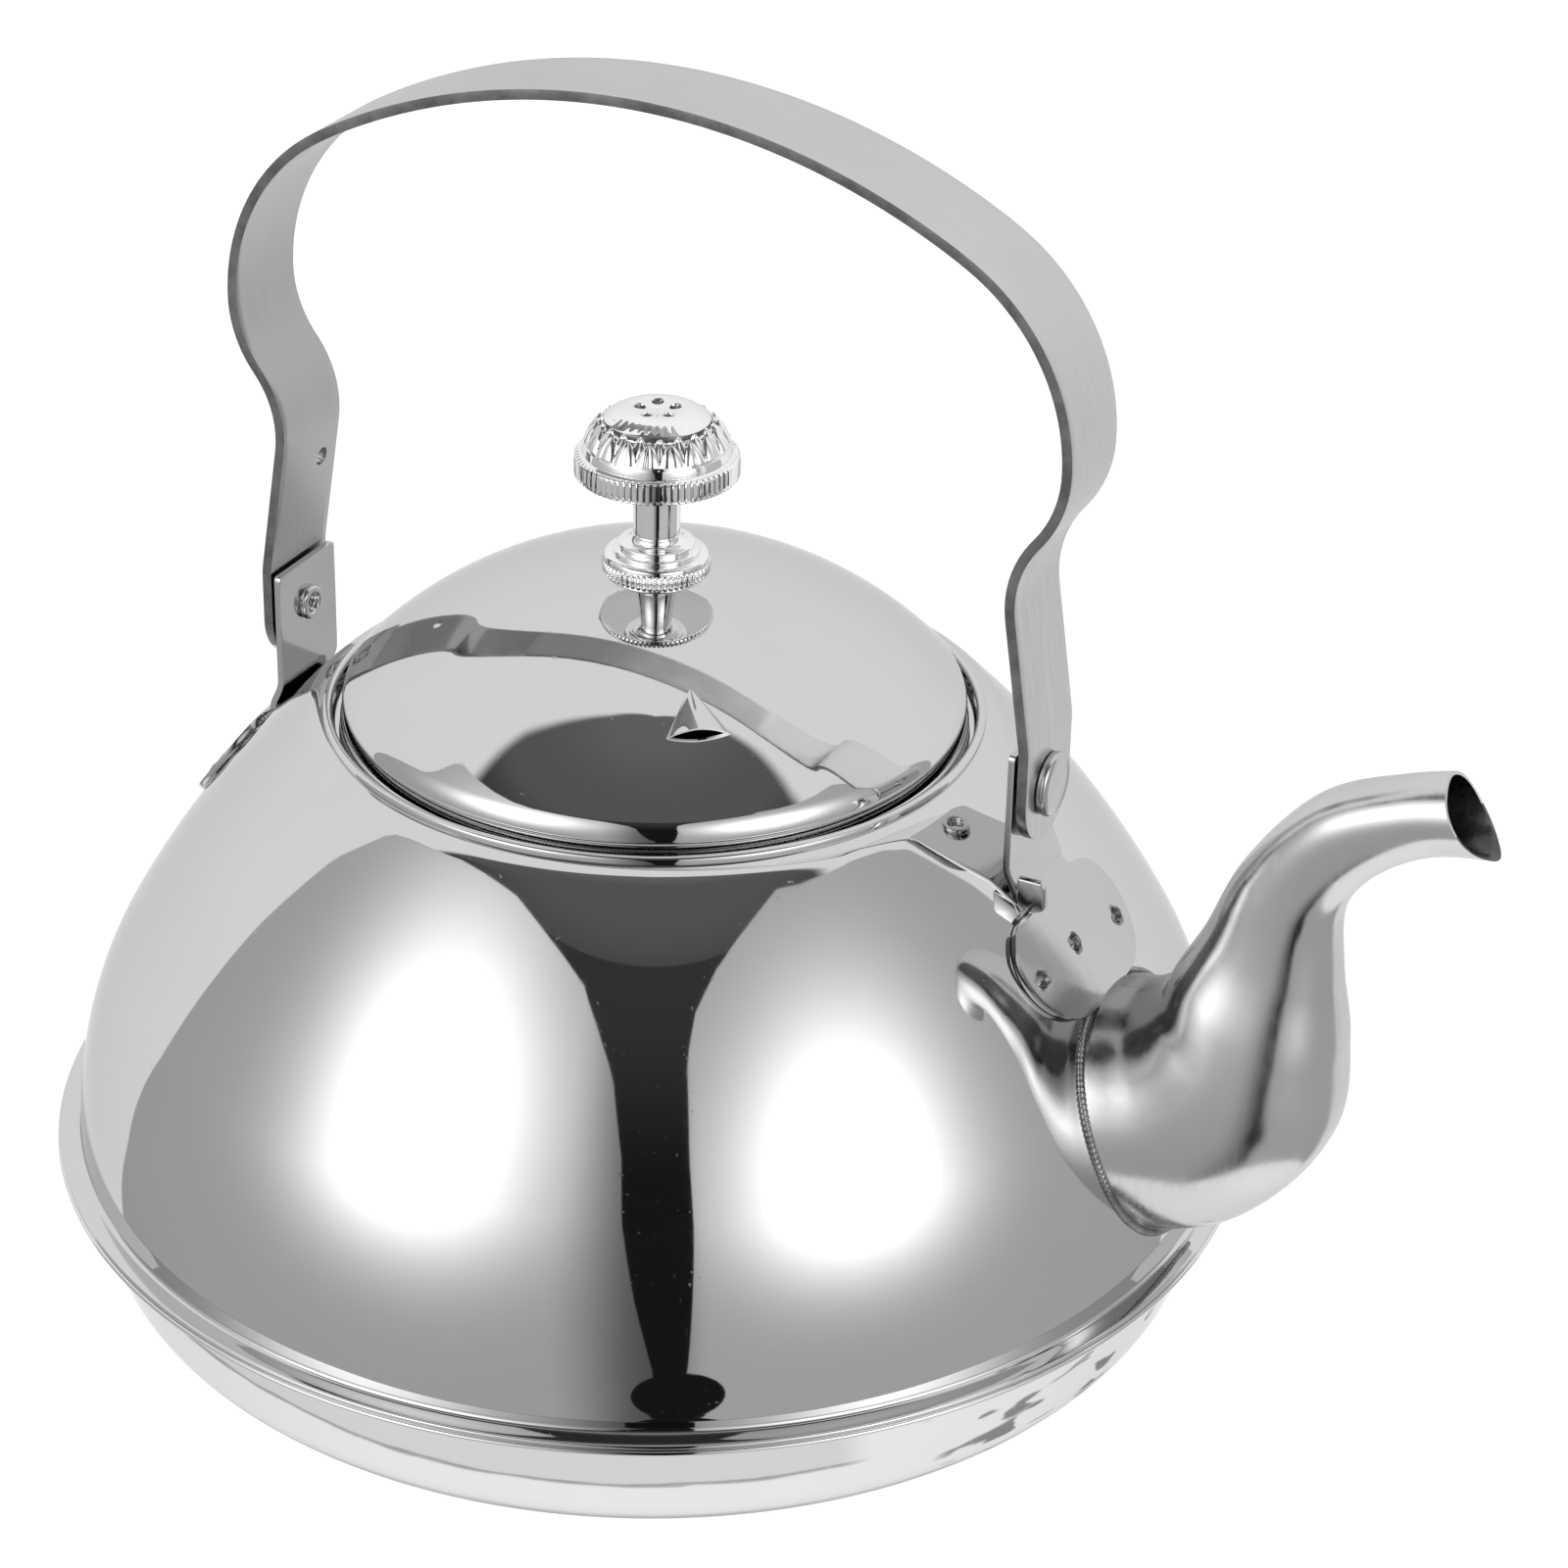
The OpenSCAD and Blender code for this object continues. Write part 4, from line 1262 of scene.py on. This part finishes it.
def table_material():
    """What the pan's wall mirrors, a painted reflection: a contact shade, a paler ring, then a grey field
    with a fine rim and dark patches.

    The ring is in metres from the kettle's axis, and the sides in degrees to the right of the camera.
    """
    n = material_nodes("table_reflection", "Emission")
    x, y = n.xyz()[:2]
    plain_reach = n.math("SQRT", n.squares(x, y))
    side = n.minus(n.math("ARCTAN2", y, x), FRONT)
    along = n.combined(X=n.times(side, 3.0), Y=n.times(plain_reach, 260.0))
    cloud = n.noise(along, 1.6)
    reach = n.plus(plain_reach, n.times(n.minus(cloud, 0.5), 0.0016))
    left = n.ease(side, radians(20), radians(25), 1.0, 0.0)
    contact = n.ease(reach, 0.0785, 0.0815, 0.62, 1.02)
    field = n.ease(reach, 0.0880, 0.0884, 0.0, 0.20)
    rim = n.math("LESS_THAN", n.math("ABSOLUTE", n.minus(reach, 0.0882)), 0.00025)
    drop = n.plus(field, n.times(rim, 0.45))
    # Painted dark patches in the mirrored grey field.
    painted_dark_patch = n.ease(cloud, 0.60, 0.63, 0.0, 0.7)
    for value, low, high, at_low in ((side, radians(30), radians(34), 0.0), (reach, 0.0935, 0.0945, 1.0),
                                     (side, radians(66), radians(72), 1.0)):
        painted_dark_patch = n.times(painted_dark_patch, n.ease(value, low, high, at_low, 1.0 - at_low))
    power = n.minus(n.minus(contact, n.times(drop, left)), painted_dark_patch)
    return n.shade(Strength=n.math("MAXIMUM", power, 0.05))


def flat_rings(radii, sides, z):
    """Points and faces of rings round the Z axis."""
    turns = [2 * pi * k / sides for k in range(sides)]
    return [(r * cos(a), r * sin(a), z) for r in radii for a in turns], grid_faces(len(radii), sides, True)


def table_sheet():
    """A ring that lies where the table would be, and is seen only in the steel."""
    vertices, faces = flat_rings((70.0, 80.0, 90.0, 100.0, 112.0), 96, -0.3)
    obj = new_object("table_sheet", vertices, faces, recalc=False)
    obj.visible_diffuse = False
    stage_card(obj, table_material())


def floor():
    """A plain pale floor, which the steel doesn't mirror."""
    sides, z = 48, -0.02
    vertices, faces = flat_rings((200.0, 500.0, 1000.0, 2000.0, 3000.0), sides, z)
    faces += [(len(vertices), k, (k + 1) % sides) for k in range(sides)]
    obj = new_object("floor", vertices + [(0, 0, z)], faces)
    n = material_nodes("pale_floor")
    tone = n.spread(n.noise(n.coords, 3.0), 0.055, 0.065)
    obj.data.materials.append(n.shade(Base_Color=tone, Roughness=0.6, Emission_Color=(1, 1, 1, 1),
                                      Emission_Strength=0.97))
    obj.visible_glossy = False


def view_settings():
    """Colours as they are, with no film look."""
    settings = bpy.context.scene.view_settings
    settings.view_transform = "Standard"
    settings.look = "None"


camera()
view_settings()
body_dome()
base_pan()
spout_half("spout_left_pressing", 1, "spout_left_half")
spout_half("spout_right_pressing", -1, "spout_right_half")
weld_bead()
bracket("front_bracket_pressing", "front_bracket", False)
bracket("rear_bracket_pressing", "rear_bracket", True)
spot_welds("front_weld_marks", "front_spot_welds", False)
spot_welds("rear_weld_marks", "rear_spot_welds", True)
rivet("front_rivet_pin", "front_rivet", False)
rivet("rear_rivet_pin", "rear_rivet", True)
handle_strap()
lid_shell()
vent_hood()
knob_base()
knob_stem()
knob_ring()
knob_cap()
carried_nodes()
studio()
white_room()
table_sheet()
floor()
